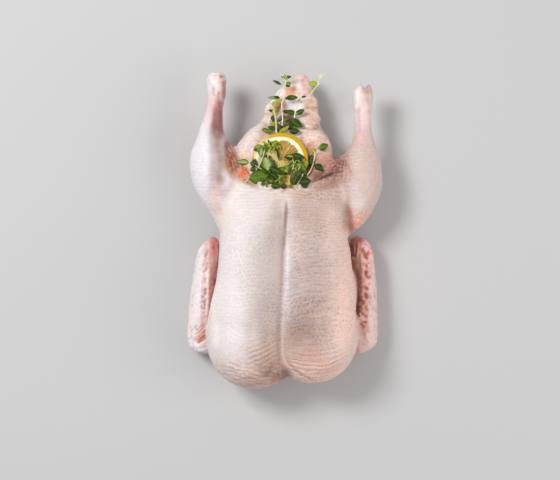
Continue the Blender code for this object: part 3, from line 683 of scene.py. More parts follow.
# lines pressed in (negative) or raised: points, width in steps, height in millimetres
LINES = [
    ([(287.0, 202), (285.4, 222), (284.4, 240), (283.6, 254)], 1.3, -0.7),
    ([(284.0, 248), (283.4, 262), (282.2, 285), (280.0, 306)], 2.2, -0.3),
    ([(288.0, 236), (287.4, 250), (286.8, 270), (285.6, 290), (284.0, 304)], 2.2, 0.3),
    ([(279.8, 300), (278.6, 325), (278.6, 346), (280.8, 358), (283.2, 368), (284.4, 378)], 2.4, -0.9),
    ([(286.0, 294), (283.4, 306), (282.4, 325), (282.6, 345), (284.8, 357), (289, 366), (295, 373)], 1.8, 0.5),
    ([(284.5, 353), (289, 363), (297, 371), (306, 376.5), (313, 379.5)], 1.1, -0.85),
    ([(288.5, 352), (293, 362), (301, 369.5), (311, 374.5)], 1.2, 0.5),
    ([(291, 366), (300, 373.5), (310, 378.5), (319, 381)], 1.0, -0.5),
    ([(346, 204), (349, 214), (351, 226), (352, 236)], 2.4, -1.1),
    ([(236, 178), (228, 190), (221, 204), (217, 218)], 5.0, -0.8),
    ([(216.5, 78), (218.2, 87), (219.4, 93)], 2.2, 0.9),
    ([(219.4, 91), (219.2, 95), (218.4, 100)], 0.9, -1.0),
    ([(213.6, 86), (213.6, 97)], 1.3, -0.5),
    ([(210, 75.4), (214, 76.4), (218, 75.4), (222, 76.4)], 0.9, -0.6),
    ([(221.4, 76.6), (222.4, 77.6)], 1.3, -0.8),
        ([(223.5, 80), (224, 90), (223, 99)], 1.6, -0.5),
    ([(218.5, 101), (220, 110), (221, 122), (222, 132)], 3.0, -0.9),
    ([(364, 90), (363, 104), (362.5, 118)], 2.6, 0.8),
    ([(358.5, 106), (358.5, 120), (359, 134)], 2.2, -0.7),
    ([(368, 90), (369, 104), (368.5, 116)], 1.8, -0.4),
    # the vent edge running out to both sides
    ([(241, 160), (244, 168), (250, 177)], 1.6, -1.0),
    ([(311, 182), (319, 178.6), (327, 175.6)], 1.1, -0.8),
        ([(324, 176), (334, 172.6), (344, 172)], 1.2, -0.5),
    # tail creases
    ([(303, 93), (309, 94.5), (316, 94)], 1.1, -0.8),
    ([(304, 107), (311, 108), (318.5, 107)], 1.1, -0.9),
    ([(303, 118), (311, 119.5), (320, 119)], 1.1, -0.9),
    ([(302, 127), (311, 129), (320, 127.5)], 1.3, -1.1),
    ([(262, 127), (268, 130), (272, 136)], 1.4, -0.8),
    ([(300, 76), (300.5, 84), (302, 92)], 1.2, 0.5),
]
for points, width, height in LINES:
    us, ws = [q[0] for q in points], [q[1] for q in points]
    near = np.nonzero((U > min(us) - 8) & (U < max(us) + 8) & (W > min(ws) - 8) & (W < max(ws) + 8))[0]
    fine[near] += height * line_mask(U[near], W[near], points, width) * TOP[near]

# the quill rows of the wings: puffed skin pinched into folds and pits
WRINKLES = [
    ([(208.6, 248), (207.0, 253), (204.6, 257.5)], 1.1, -0.8),
    ([(204.4, 263.5), (202.2, 266.5)], 1.0, -0.9),
    ([(206.2, 262), (207.6, 266), (206.2, 270), (203.4, 272.6), (201.2, 271.4)], 0.9, -0.9),
    ([(205.2, 278), (205.6, 285)], 1.0, -0.9),
    ([(201.8, 283.4), (205.0, 281.4)], 0.9, -0.8),
    ([(205.2, 287.4), (205.6, 296)], 1.1, -1.2),
    ([(201.4, 291.4), (205.0, 289.4)], 0.9, -0.8),
    ([(200.6, 297.2), (205.6, 296.0)], 1.0, -1.3),
    ([(205.4, 298), (204.8, 306)], 1.0, -1.0),
    ([(201.2, 302.6), (204.8, 301.0)], 0.9, -0.8),
    ([(201.6, 304.4), (202.0, 308.2), (204.8, 308.8), (205.2, 304)], 0.9, -1.0),
    ([(202.2, 313.6), (205.6, 312)], 0.9, -0.7),
    ([(202.8, 318.6), (206.4, 316.6)], 0.9, -0.6),
    ([(195.0, 331), (200.0, 328.4), (207.0, 322)], 1.0, -0.7),
    ([(193.6, 335.4), (199.0, 332), (206.0, 326)], 1.0, -0.6),
    ([(202.0, 334.4), (208.0, 328.6)], 0.9, -0.7),
    ([(199.0, 341), (204.0, 336.6), (208.2, 331)], 1.0, -1.2),
    ([(197.0, 343.8), (203.0, 340.6), (208.2, 335)], 1.0, -1.3),
    ([(362.4, 246), (364.4, 251.6), (366.4, 257.8)], 1.6, -1.3),
    ([(369.4, 250.4), (368.2, 254.6), (366.6, 258.4)], 1.4, -1.1),
    ([(363.0, 261), (364.6, 265.6), (368.2, 267.6)], 1.3, -1.0),
    ([(364.0, 271.4), (366.2, 275.6), (370.0, 277.2), (371.6, 275)], 1.4, -1.4),
    ([(363.0, 283.4), (366.0, 288), (368.8, 289.4)], 1.4, -1.5),
    ([(364.4, 292.4), (366.4, 297), (368.4, 297.4)], 1.3, -1.4),
    ([(368.6, 282), (371.0, 284.4)], 1.2, -0.6),
    ([(362.6, 299), (364.4, 304.6)], 1.1, -0.9),
    ([(360.6, 305.6), (362.8, 310.6)], 1.0, -0.9),
    ([(366.0, 309), (369.0, 311.6)], 1.1, -0.7),
    ([(369.4, 303), (371.4, 306)], 1.1, -0.5),
    ([(359.0, 317.6), (363.0, 322.2), (368.2, 323.2)], 1.1, -1.3),
    ([(357.6, 321.4), (361.0, 325.4), (366.2, 327.4)], 1.0, -1.0),
    ([(358.0, 312.6), (360.4, 317.4)], 1.0, -0.8),
    ([(363.4, 258), (363.2, 268), (363.8, 280)], 1.4, 0.8),
    ([(364.4, 281), (363.6, 290), (362.8, 298)], 1.4, 0.9),
    ([(357.4, 315.6), (360.4, 319.4), (364.4, 325)], 1.1, 0.9),
    ([(359.2, 312.6), (362.0, 316), (367.0, 320.4)], 1.1, 0.9),
    ([(366.0, 268), (368.6, 271.4)], 1.8, 0.8),
    ([(366.6, 280), (368.6, 284.4)], 1.8, 0.8),
    ([(366.2, 291), (369.6, 294)], 1.7, 0.7),
    ([(366.0, 300), (367.6, 303.4)], 1.7, 0.6),
    ([(366.4, 332), (367.2, 338), (371.0, 344)], 1.7, 0.9),
    ([(353.6, 243.0), (352.8, 250.0), (353.4, 257.0)], 1.1, -0.7),
    ([(357.6, 241.0), (356.8, 248.0), (355.4, 256.0)], 1.1, -0.8),
    ([(361.4, 240.4), (360.4, 246.0), (359.2, 251.0)], 1.0, -0.6),
    ([(365.8, 241.6), (367.6, 247.0)], 1.0, -0.6),
    ([(355.2, 242.0), (354.8, 250.0), (354.2, 256.0)], 1.0, 0.6),
    ([(359.4, 241.0), (358.6, 249.0), (357.4, 259.0)], 1.0, 0.7),
    ([(363.2, 285.6), (364.6, 288.2)], 1.0, -0.9),
    ([(364.4, 293.6), (365.8, 296.4)], 1.0, -0.9),
    ([(360.6, 311.0), (363.8, 315.4), (368.6, 317.2)], 0.9, -0.7),
    ([(361.0, 332.4), (366.0, 335.6)], 1.0, -0.5),
]
wing_warp = 0.7 * noise(v, 3.6, 91)
for points, width, height in WRINKLES:
    us, ws = [q[0] for q in points], [q[1] for q in points]
    near = np.nonzero((U > min(us) - 7) & (U < max(us) + 7) & (W > min(ws) - 7) & (W < max(ws) + 7))[0]
    mark = line_mask(U[near] + wing_warp[near], W[near] - wing_warp[near], points, width)
    fine[near] += np.where(LEFT[near], 1.1, 1.35) * height * mark * (WING * TOP)[near]
mid = np.interp(W, [248, 276, 303, 326], [206.6, 205.4, 205.2, 203.0])
band = LEFT * WING * TOP * ramp(W, 256, 266) * ramp(-W, -330, -322)
fine += band * 0.9 * np.exp(-(((U - mid - 2.6) / 1.3) ** 2)) * (1 + 0.45 * np.sin(2 * np.pi * W / 5.2 + noise(v, 9.0, 92)))
fine += band * 0.4 * np.exp(-(((U - mid + 3.0) / 2.2) ** 2)) * (1 + 0.8 * noise(v, 4.0, 93))
mid = np.interp(W, [244, 266, 290, 314], [364, 367, 366.5, 364])
band = RIGHT * WING * TOP * ramp(W, 242, 250) * ramp(-W, -332, -322) * np.exp(-(((U - mid) / 5.2) ** 2))
fine += band * 1.1 * ridged(v, (3.8, 5.0, 4.6), 94)
fine += WING * 0.34 * ridged(v, (5.0, 8.0, 6.0), 43) * TOP
low_wing = WING * ramp(W, 318, 330) * TOP
wing_side = WING * ramp(np.abs(normal[:, 0]), 0.55, 0.85)
fold = 19.0 + 0.05 * (Y + 60.0) + 1.6 * noise(v, 22.0, 95)
reach = ramp(Y, -116, -98) * ramp(-Y, 14, 34)
relief += wing_side * reach * (-1.5 * np.exp(-(((Z - fold) / 3.6) ** 2)) + 0.7 * np.exp(-(((Z - fold - 7.0) / 4.0) ** 2)) + 0.6 * np.exp(-(((Z - fold + 7.2) / 4.2) ** 2)))
fine += wing_side * 0.4 * ridged(v, (6.0, 7.0, 4.6), 96)
c = Y + 0.5 * Z + 2.0 * noise(v, 9.0, 97)
fine += wing_side * (ramp(-Y, 100, 112) + 0.5 * ramp(Y, -40, -24)) * 0.3 * (2 * np.abs(np.sin(np.pi * c / 5.2)) ** 0.8 - 1.25)
fine += low_wing * 0.35 * ridged(v, (6.0, 5.0, 5.0), 44)
c = W + 0.85 * U + 1.8 * noise(v, 7.0, 45)
fine += low_wing * LEFT * ramp(-W, -346, -338) * 0.25 * (2 * np.abs(np.sin(np.pi * c / 4.4)) ** 0.8 - 1.25)

relief = (relief + fine) * ramp(Z, 0.3, 5.0)
for cu, cw, size, height in ((317.0, 106.5, 3.0, 1.3), (319.0, 118.0, 3.6, 1.7), (316.0, 99.0, 2.6, 0.8), (309.5, 84.0, 3.0, 0.8), (268.5, 108.0, 3.0, 1.0)):
    relief = relief + height * blob(U, W, cu, cw, size, size, soft=1.0)
v = v + normal * relief[:, None]
top_edge = np.interp(U, [353, 356, 359, 362, 364.4, 366.4, 369.4, 371.5, 374], [-3.6, -2.0, -0.6, 1.3, -1.4, -1.0, 0.9, -1.4, -3.0])
v[:, 1] += STEP * top_edge * ramp(-W, -96, -86) * LEG * RIGHT
top_edge = np.interp(U, [206, 209, 211, 213, 217, 219, 222, 225, 227], [-1.0, -0.8, 0.3, 0.7, 0.1, 0.6, -0.1, -0.4, -1.6])
v[:, 1] += STEP * top_edge * ramp(-W, -84, -75) * LEG * LEFT
v[:, 2] = np.maximum(v[:, 2], 0.0)


# ---- colours ---------------------------------------------------------------------------------------------------------
def linear(rgb):
    c = np.array(rgb, float) / 255.0
    return np.where(c <= 0.04045, c / 12.92, ((c + 0.055) / 1.055) ** 2.4)


PALE = (238, 227, 226)
COOL_AND_LIT = (243, 240, 246)
WARM_AND_SHADED = (214, 187, 176)
MEAT_AND_SHADE = (194, 166, 158)
PINK = (236, 203, 202)
ROSE = (222, 160, 152)
RED = (168, 98, 92)
EMBER = (216, 132, 98)
RUST = (166, 108, 84)
FAT = (238, 208, 168)
FILM = (236, 228, 238)
DARK = (104, 62, 54)

tint = np.tile(linear(PALE), (len(v), 1))
grain = fbm(v, 9.0, 51)
drift = fbm(v, 30.0, 52)


def paint(mask, colour, amount):
    global tint
    m = np.clip(mask * amount, 0.0, 1.0)[:, None]
    tint = tint + m * (linear(colour) - tint)


def shade(mask, by):
    """Multiplies the colour where the mask is."""
    global tint
    tint = tint * (1 + np.clip(mask, 0.0, 1.0)[:, None] * (np.array(by) - 1))


rough = 0.22 * grain + 0.15 * drift
speck = ramp(noise(v, 3.0, 53) + 0.5 * noise(v, 1.9, 54), 0.0, 0.7)
# the right half warmer and darker: partly the skin's warmer tone, partly painted shade of the side turned away from the
# key light
paint(ramp(U + 10 * drift, 284, 322) * BODY, WARM_AND_SHADED, 0.78)
# greyish meat showing through on both sides of the keel, darkened further as painted shade
paint(blob(U, W, 306, 308, 26, 40, 10, 0.9, rough) * BODY, MEAT_AND_SHADE, 0.72)
paint(blob(U, W, 262, 318, 20, 34, 0, 0.9, rough) * BODY, (216, 200, 199), 0.6)
# painted shade on the upper right of the keel, the side turned away from the light
paint(blob(U, W, 302, 250, 20, 34, 0, 0.9, rough) * BODY, (206, 184, 175), 0.5)
paint(ramp(W + 8 * drift + 0.15 * (U - 250), 350, 378) * LEFT * BODY, (224, 184, 172), 0.85)
# painted shade where the lower end of the left lobe turns away from the light
paint(blob(U, W, 262, 379, 26, 8, 0, 0.8, rough) * BODY, (206, 162, 150), 0.7)
# painted light: the lower right, the left edges, the right edge and the left lobe lightened, the left as its lit side,
# the right to lift the shade turned from the key light
paint(blob(U, W, 316, 366, 40, 20, 0, 0.8, rough) * BODY, (240, 202, 186), 0.85)
paint(ramp(-U, -222, -208) * BODY * ramp(-W, -330, -300), (246, 239, 238), 0.8)
paint(ramp(-U, -226, -210) * BODY * ramp(W, 300, 330), (246, 230, 226), 0.7)
paint(ramp(U, 334, 352) * BODY * ramp(W, 240, 262), (250, 220, 208), 0.85)
paint(blob(U, W, 232, 275, 18, 120, 0, 0.9, rough) * BODY, (251, 240, 237), 0.75)
# painted shade right of the keel below the vent, on the slope turned from the light
paint(blob(U, W, 314, 218, 36, 30, 0, 0.9, rough) * ramp(U, 286, 294) * BODY, (206, 178, 167), 0.6)
paint(blob(U, W, 300, 211, 16, 20, 0, 1.0, rough) * ramp(U, 286, 291) * BODY, (198, 166, 154), 0.55)
paint(blob(U, W, 285, 196, 24, 6, 0, 0.8, rough) * BODY, (236, 210, 190), 0.6)
# meat showing through right of the keel, darkened further as painted shade
paint(blob(U, W, 300, 320, 22, 28, 0, 1.0, rough) * BODY, (180, 158, 149), 0.6)
paint(blob(U, W, 311, 268, 20, 20, 0, 0.9, rough) * BODY, (190, 166, 158), 0.45)
# painted light lifting the shade of the right edge, which is turned from the key light
paint(blob(U, W, 347, 238, 9, 16, 0, 0.9, rough) * BODY, (255, 216, 204), 0.9)
paint(blob(U, W, 346, 310, 13, 62, 0, 0.9, rough) * BODY, (255, 214, 200), 0.75)
paint(blob(U, W, 271, 370, 11, 9, 0, 0.9, rough) * BODY, (168, 132, 114), 0.8)
# keel
# painted shade on the left lobe's flank where it slopes into the keel, away from the light, on this and the next line
near_keel = ramp(U + 2 * drift, 234, 270) * (1 - ramp(U - 284 + 0.03 * (W - 240), -1.5, 1.5)) * BODY * TOP
shade(near_keel * ramp(W, 190, 250) * (1 - ramp(W, 356, 376)), (0.70, 0.66, 0.62))
shade(ramp(U, 262, 274) * (1 - ramp(U, 282, 286)) * ramp(W, 206, 222) * (1 - ramp(W, 236, 262)) * BODY * TOP, (0.86, 0.84, 0.80))
shade(line_mask(U, W, [(268, 306), (268, 326), (270, 344)], 7.0) * TOP, (1.12, 1.09, 1.06))
shade(line_mask(U, W, [(279, 312), (279, 330), (279, 348)], 3.4) * TOP, (1.16, 1.20, 1.20))
# painted shade, warmer, on the same flank lower down
shade(near_keel * ramp(W, 318, 350) * (1 - ramp(W, 360, 378)), (0.88, 0.78, 0.74))
paint(line_mask(U, W, [(277.4, 215), (276.8, 240), (276.0, 262), (274.8, 284)], 2.2) * TOP, (222, 194, 180), 0.5)
shade(ramp(U, 281, 286) * (1 - ramp(U, 312, 334)) * ramp(W, 306, 332) * (1 - ramp(W, 352, 368)) * BODY * TOP, (0.82, 0.74, 0.71))
# painted light: the right side lightened to lift the shade turned from the key light
shade(ramp(U, 318, 334) * (1 - ramp(U, 350, 356)) * ramp(W, 200, 214) * (1 - ramp(W, 330, 352)) * BODY, (1.13, 1.11, 1.09))
shade(ramp(U, 318, 330) * (1 - ramp(U, 338, 343)) * ramp(W, 200, 212) * (1 - ramp(W, 236, 262)) * BODY, (1.10, 1.09, 1.08))
# painted shade damping the highlight right of the keel
shade(blob(U, W, 292, 277, 9, 18, 0, 0.9) * BODY, (0.84, 0.84, 0.86))
# painted light lifting the lower right end
shade(ramp(W, 366, 377) * ramp(U, 288, 296) * BODY, (1.16, 1.12, 1.08))
shade(ramp(W, 334, 352) * ramp(U, 292, 312) * (1 - ramp(U, 340, 352)) * BODY, (1.13, 1.12, 1.11))
shade(ramp(W, 206, 232) * (1 - ramp(W, 340, 356)) * (1 - ramp(U, 236, 268)) * BODY, (0.995, 1.015, 1.035))
# painted shade in the valley of the keel
paint(line_mask(U, W, [(279.5, 292), (277.4, 312), (277, 350)], 3.0) * TOP, (186, 168, 170), 0.6)
# painted highlight along the right edge of the keel's valley
paint(line_mask(U, W, [(287.6, 246), (287.4, 262), (287.0, 276), (286.2, 292), (283.4, 306)], 1.7) * TOP, (240, 234, 242), 0.8)
shade(line_mask(U, W, [(282.6, 306), (282.4, 325), (283.2, 345), (285.4, 357)], 2.0) * TOP, (0.86, 0.84, 0.83))
# painted shade down the keel's groove
paint(line_mask(U, W, [(287.2, 204), (285.6, 222), (284.2, 240), (283.2, 252)], 1.5) * TOP, (158, 136, 134), 0.8)
paint(line_mask(U, W, [(283.6, 248), (282.6, 262), (281.2, 285), (280.2, 298)], 2.2) * TOP, (176, 158, 158), 0.7)
paint(line_mask(U, W, [(279.8, 300), (278.6, 325), (278.8, 348), (281.6, 362)], 2.2) * TOP, (194, 174, 172), 0.75)
# painted shade on the left flank at the top of the keel, with the groove darkened below
shade(line_mask(U, W, [(277.4, 198), (277.6, 222)], 6.0) * TOP, (0.85, 0.78, 0.73))
paint(line_mask(U, W, [(286.4, 200), (285.4, 214), (284.6, 230)], 1.2) * TOP, (142, 116, 112), 0.75)
# painted shade damping the highlight right of the groove
shade(line_mask(U, W, [(288.6, 204), (288.4, 240)], 1.8) * TOP, (0.84, 0.82, 0.80))
shade(line_mask(U, W, [(286.2, 270), (285.6, 302)], 2.0) * TOP, (0.88, 0.87, 0.88))
shade(ramp(U, 280, 284) * (1 - ramp(U, 296, 316)) * ramp(W, 318, 338) * (1 - ramp(W, 362, 372)) * BODY * TOP, (1.05, 0.98, 0.90))
shade(blob(U, W, 268, 354, 16, 18, 0, 0.9) * BODY * TOP, (1.06, 1.02, 0.94))
paint(blob(U, W, 284, 374, 9, 9, 0, 0.8, rough), (146, 94, 86), 0.88)
paint(blob(U, W, 275, 380, 6, 3, -15, 0.8, rough), (206, 130, 88), 0.7)
# left leg
left_leg, right_leg = LEG * LEFT, LEG * RIGHT
# the left leg cooler and lighter than the right: partly its whiter skin, partly painted light on the lit side
paint(left_leg, COOL_AND_LIT, 0.9)
paint(blob(U, W, 213, 205, 8, 20, 14, 0.9, rough) * TOP, (248, 222, 214), 0.7)
paint(blob(U, W, 222, 216, 6, 22, -16, 0.9, rough) * TOP, (250, 232, 214), 0.8)
paint(blob(U, W, 217, 192, 8, 12, 16, 0.9, rough) * TOP, (240, 208, 204), 0.6)
paint(blob(U, W, 236, 188, 12, 12, 0, 0.9, rough) * TOP, (250, 242, 234), 0.7)
paint(blob(U, W, 211, 190, 5, 9, 20, 0.9, rough) * TOP, (226, 192, 188), 0.6)
# painted shade in the trough between the drumstick and the body
paint(line_mask(U, W, [(217, 110), (219, 130), (221, 152), (221, 172), (217, 190)], 5.0) * TOP, (190, 160, 158), 0.75)
paint(ramp(-W, -138, -104) * ramp(W, 88, 98) * left_leg, (240, 204, 204), 0.75)
paint(line_mask(U, W, [(218.5, 95), (220.5, 106), (221.5, 118), (221, 130), (222, 142)], 4.6) * left_leg, (168, 98, 98), 0.95)
paint(line_mask(U, W, [(215.5, 104), (214.5, 116), (213, 130)], 3.0) * left_leg, (222, 144, 146), 0.75)
# painted light on the ankle's lit left side
paint(blob(U, W, 213, 84, 9, 14, 0, 0.9) * left_leg, (255, 247, 246), 0.8)
# the ankle's right side darker and pinker: partly its pink skin, partly painted shade
paint(line_mask(U, W, [(223.8, 79), (224.6, 90), (223.6, 101)], 3.4) * left_leg, (196, 146, 138), 0.95)
# painted shade in a stripe and in the crease of the ankle
paint(line_mask(U, W, [(213.6, 87), (213.6, 98)], 1.5) * left_leg, (212, 192, 200), 0.8)
paint(line_mask(U, W, [(219.2, 92), (218.8, 99)], 1.0) * left_leg, (150, 92, 88), 0.8)
paint(blob(U, W, 221.6, 77.0, 2.6, 2.8, 10, 0.9) * left_leg, (192, 118, 92), 0.9)
paint(blob(U, W, 217, 96, 5, 4, 0, 0.9, rough) * left_leg, (232, 186, 170), 0.6)
shade(ramp(-W, -98, -88) * left_leg, (0.93, 0.87, 0.88))
# painted shade along the inner side of the shin and the trough beside it, turned away from the light
shade(line_mask(U, W, [(217.5, 104), (216, 116), (215.5, 128), (216.5, 142), (217.5, 156)], 4.6) * left_leg * TOP, (0.50, 0.42, 0.43))
shade(line_mask(U, W, [(211.5, 122), (211, 134), (212.5, 148), (213, 162), (212.4, 178), (210.6, 192)], 4.4) * left_leg * TOP, (0.74, 0.68, 0.67))
shade(blob(U, W, 217, 174, 7, 16, 0, 0.9, rough) * TOP, (0.74, 0.66, 0.64))
# right leg
# the right leg darker and warmer than the left: painted shade of the leg on the side away from the light
paint(right_leg, (221, 196, 187), 0.9)
paint(blob(U, W, 357, 203, 9, 9, 0, 0.9, rough) * right_leg, (244, 224, 218), 0.7)
paint(blob(U, W, 372, 170, 9, 30, -6, 0.9, rough) * right_leg, (220, 192, 184), 0.6)
paint(blob(U, W, 354, 194, 8, 20, -16, 0.9, rough) * TOP, (228, 214, 216), 0.6)
paint(ramp(-W, -140, -112) * ramp(W, 100, 110) * right_leg, (250, 226, 226), 0.8)
paint(line_mask(U, W, [(358.6, 112), (359.6, 128), (360, 142), (356, 152)], 3.2) * right_leg, (232, 180, 184), 0.7)
paint(line_mask(U, W, [(369.0, 108), (368.2, 122)], 1.6) * right_leg, (238, 190, 184), 0.6)
paint(ramp(-W, -108, -94) * right_leg, (250, 226, 220), 0.8)
paint(blob(U, W, 357, 98, 4, 14, 0, 0.9) * right_leg, (255, 248, 246), 0.9)
shade(ramp(-W, -104, -98) * ramp(U, 358, 364) * right_leg, (0.86, 0.83, 0.81))
shade(line_mask(U, W, [(358, 112), (359, 132)], 3.4) * right_leg, (1.12, 1.34, 1.46))
shade(line_mask(U, W, [(366, 116), (367, 130)], 2.6) * right_leg, (1.10, 0.98, 0.98))
paint(blob(U, W, 367, 91, 6, 5, 0, 0.9, rough) * right_leg, (200, 152, 142), 0.75)
paint(blob(U, W, 366, 84.5, 2.6, 3.4), (86, 52, 50), 0.95)
# the right knee's peach colour lightened as painted light, lifting the shade it lies in
paint(blob(U, W, 357, 224, 10, 16, 36, 0.8, rough) * TOP, (248, 186, 162), 0.9)
# painted shade in the crease between the right thigh and the body
paint(blob(U, W, 347, 205, 4, 11, 8, 0.9, rough) * TOP, (196, 158, 144), 0.6)
paint(line_mask(U, W, [(347, 206), (350, 218), (352, 236)], 3.0) * TOP, (166, 108, 92), 0.85)
# skin between legs and vent, with fat and flesh showing through
paint(blob(U, W, 233, 160, 10, 24, -14, 0.7, rough) * TOP, (160, 92, 58), 0.97)
paint(blob(U, W, 227.5, 148, 6, 12, 0, 0.8, rough) * TOP, (148, 94, 74), 0.85)
paint(blob(U, W, 228, 150, 5, 14, -8, 0.7, rough) * TOP * speck, (132, 78, 60), 0.7)
paint(blob(U, W, 236, 168, 8, 14, -14, 0.7, rough) * TOP * speck, (150, 84, 62), 0.7)
paint(blob(U, W, 242, 177, 14, 8, 34, 0.8, rough) * TOP, (214, 156, 128), 0.8)
paint(blob(U, W, 251, 184, 11, 3.4, 24, 0.8, rough) * TOP, (172, 124, 62), 0.9)
paint(blob(U, W, 244.6, 171.6, 5.6, 7.4, 24, 0.6, rough) * TOP, (244, 108, 30), 0.97)
paint(blob(U, W, 246, 157, 8, 11, 0, 0.8, rough) * TOP, (244, 190, 140), 0.85)
paint(blob(U, W, 331, 168, 23, 13, -32, 0.8, rough) * TOP, (190, 130, 112), 0.85)
paint(blob(U, W, 338, 162, 14, 9, -36, 0.8, rough) * TOP * speck, (120, 76, 58), 0.7)
paint(blob(U, W, 322, 174, 12, 8, -30, 0.8, rough) * TOP * speck, (140, 84, 66), 0.6)
paint(blob(U, W, 313, 172, 8, 9, 0, 0.8, rough) * TOP, (176, 108, 88), 0.85)
paint(blob(U, W, 345, 176, 14, 10, -30, 0.8, rough) * TOP, (204, 162, 144), 0.6)
paint(blob(U, W, 342, 165, 7, 8, -20, 0.8, rough) * TOP, (156, 102, 84), 0.75)
paint(blob(U, W, 318, 176, 7, 4.5, -20, 0.8, rough) * TOP, (130, 84, 58), 0.85)
paint(blob(U, W, 318, 160, 9, 8, 0, 0.8, rough) * TOP, (192, 134, 110), 0.75)
paint(blob(U, W, 349, 173, 6, 8, -20, 0.8, rough) * TOP, (198, 158, 142), 0.6)
paint(line_mask(U, W, [(311, 182), (319, 178.6), (327, 175.6), (337, 173)], 1.7) * TOP, (118, 70, 54), 0.75)
paint(line_mask(U, W, [(244, 168), (250, 178), (265, 185.5), (285, 188), (302, 186), (318, 179)], 1.8) * TOP, (226, 198, 168), 0.7)
paint(brim * speck, (170, 126, 96), 0.6)
paint(blob(U, W, 285, 188.5, 12, 1.8, 0, 0.8, rough) * TOP, (206, 120, 100), 0.6)
shade(blob(U, W, 232, 166, 12, 12, -20, 0.8, rough) * TOP, (0.74, 0.44, 0.24))
shade(blob(U, W, 334, 173, 9, 9, -10, 0.8, rough) * TOP, (0.56, 0.47, 0.43))
shade(blob(U, W, 339, 164, 7, 8, -10, 0.8, rough) * TOP, (0.78, 0.62, 0.54))
shade(blob(U, W, 330, 186, 16, 5, -14, 0.9, rough) * TOP, (0.84, 0.76, 0.72))
# painted shade in the crease between the right thigh and the body
shade(blob(U, W, 345, 207, 5, 9, 8, 0.9, rough) * TOP, (0.80, 0.74, 0.72))
shade(blob(U, W, 347, 222, 5, 12, 0, 0.9, rough) * TOP, (0.80, 0.72, 0.70))
paint(blob(U, W, 328, 164, 6, 7, 0, 0.8, rough) * TOP, (206, 142, 128), 0.6)
# the vent's deep inside dark red-brown: flesh, with painted shade of the hollow
inside = blob(U, W, 284, 163, 36, 23, 0, 0.35) * ramp(-Z, -62, -56) * BODY
paint(inside, (142, 72, 50), 0.85)
# tail
paint(ramp(-W, -134, -122) * blob(U, W, 292, 104, 44, 42, soft=0.2) * BODY, (244, 218, 204), 0.9)
paint(blob(U, W, 303, 78, 8, 9, 0, 0.8, rough), (244, 206, 194), 0.8)
# the tail's top by the stem whitened: pale skin with a painted highlight
paint(blob(U, W, 294, 86, 6, 6, 30, 0.7, rough) * TOP, (255, 244, 232), 0.9)
paint(blob(U, W, 280, 91, 5, 5, 0, 0.8, rough) * TOP, (252, 240, 236), 0.8)
paint(line_mask(U, W, [(301.6, 77), (303.4, 85), (304.6, 93)], 1.2) * TOP, (214, 150, 146), 0.7)
# the pale pillar left of the stem: pale skin with a painted highlight, here and two lines down
paint(blob(U, W, 273, 96, 5.6, 16, 32, 0.8, rough) * TOP, (255, 248, 246), 0.9)
paint(blob(U, W, 290.6, 91.6, 6.4, 6.0, 20, 0.5, rough) * TOP, (252, 166, 130), 0.97)
paint(blob(U, W, 281.4, 93.5, 3.6, 9, 24, 0.6, rough) * TOP, (255, 246, 240), 0.9)
paint(blob(U, W, 278.2, 105, 3.6, 8, 16, 0.6, rough) * TOP, (206, 100, 60), 0.95)
paint(blob(U, W, 296, 103.5, 10, 8.5, 15, 0.5, rough) * TOP, (255, 250, 252), 0.97)
paint(blob(U, W, 291, 104, 4, 5, 0, 0.8) * TOP, (220, 210, 238), 0.8)
paint(blob(U, W, 311, 108, 8, 22, -6, 0.8, rough) * TOP, (236, 196, 170), 0.85)
paint(blob(U, W, 262, 134, 7, 5, 0, 0.8, rough) * TOP, (214, 178, 138), 0.6)
paint(blob(U, W, 303, 92, 5, 12, -10, 0.8, rough) * TOP, (238, 204, 204), 0.6)
# painted shade filling the deep hollow behind the slice
paint(blob(U, W, 286, 124, 16, 10, 0, 0.6, rough) * ramp(-Z, -49, -43) * BODY, (66, 40, 34), 0.95)
paint(blob(U, W, 317, 144, 17, 18, 0, 0.6, rough) * BODY * TOP, (234, 198, 178), 0.85)
# painted highlight: a pale streak along the right flap
paint(blob(U, W, 313, 137, 10, 5, -14, 0.8, rough) * TOP, (252, 226, 212), 0.85)
paint(blob(U, W, 301.5, 139, 3, 6, 0, 0.8, rough) * TOP, (206, 150, 128), 0.7)
# the crease beside the slice darkened: partly its reddish skin, partly painted shade in it
paint(line_mask(U, W, [(307.6, 143), (309.4, 148), (310.4, 154)], 1.6) * TOP, (170, 98, 82), 0.75)
paint(blob(U, W, 311, 148, 4, 8, 0, 0.8, rough) * TOP, (232, 150, 124), 0.7)
paint(blob(U, W, 325, 156, 8, 6, -30, 0.8, rough) * TOP, (214, 152, 136), 0.6)
paint(blob(U, W, 250, 144, 15, 20, 20, 0.6, rough) * BODY * TOP, (246, 226, 222), 0.85)
paint(blob(U, W, 258, 146, 4, 14, 20, 0.8, rough) * BODY * TOP, (232, 178, 166), 0.7)
shade(blob(U, W, 232, 164, 8, 14, -18, 0.8, rough) * np.clip(1.6 * web_left, 0, 1), (1.0, 0.82, 0.52))
shade(blob(U, W, 244.6, 171.6, 6, 8, 24, 0.8, rough) * TOP, (1.04, 0.90, 0.58))
shade(blob(U, W, 244, 157, 8, 10, 0, 0.9, rough) * TOP, (0.98, 0.96, 0.80))
shade(blob(U, W, 312, 124, 7, 5, 0, 0.9, rough) * TOP, (0.90, 0.86, 0.84))
shade(blob(U, W, 262, 136, 5, 5, 0, 0.9, rough) * TOP, (1.06, 1.04, 0.84))
paint(line_mask(U, W, [(309, 183.4), (315, 180.8), (321, 178), (328, 175.4)], 1.4) * TOP, (108, 60, 44), 0.85)
shade(blob(U, W, 327, 185.6, 15, 6, -14, 0.9, rough) * TOP, (0.86, 0.78, 0.70))
paint(blob(U, W, 316, 159, 3, 4, 0, 0.8, rough) * TOP, (226, 130, 120), 0.6)
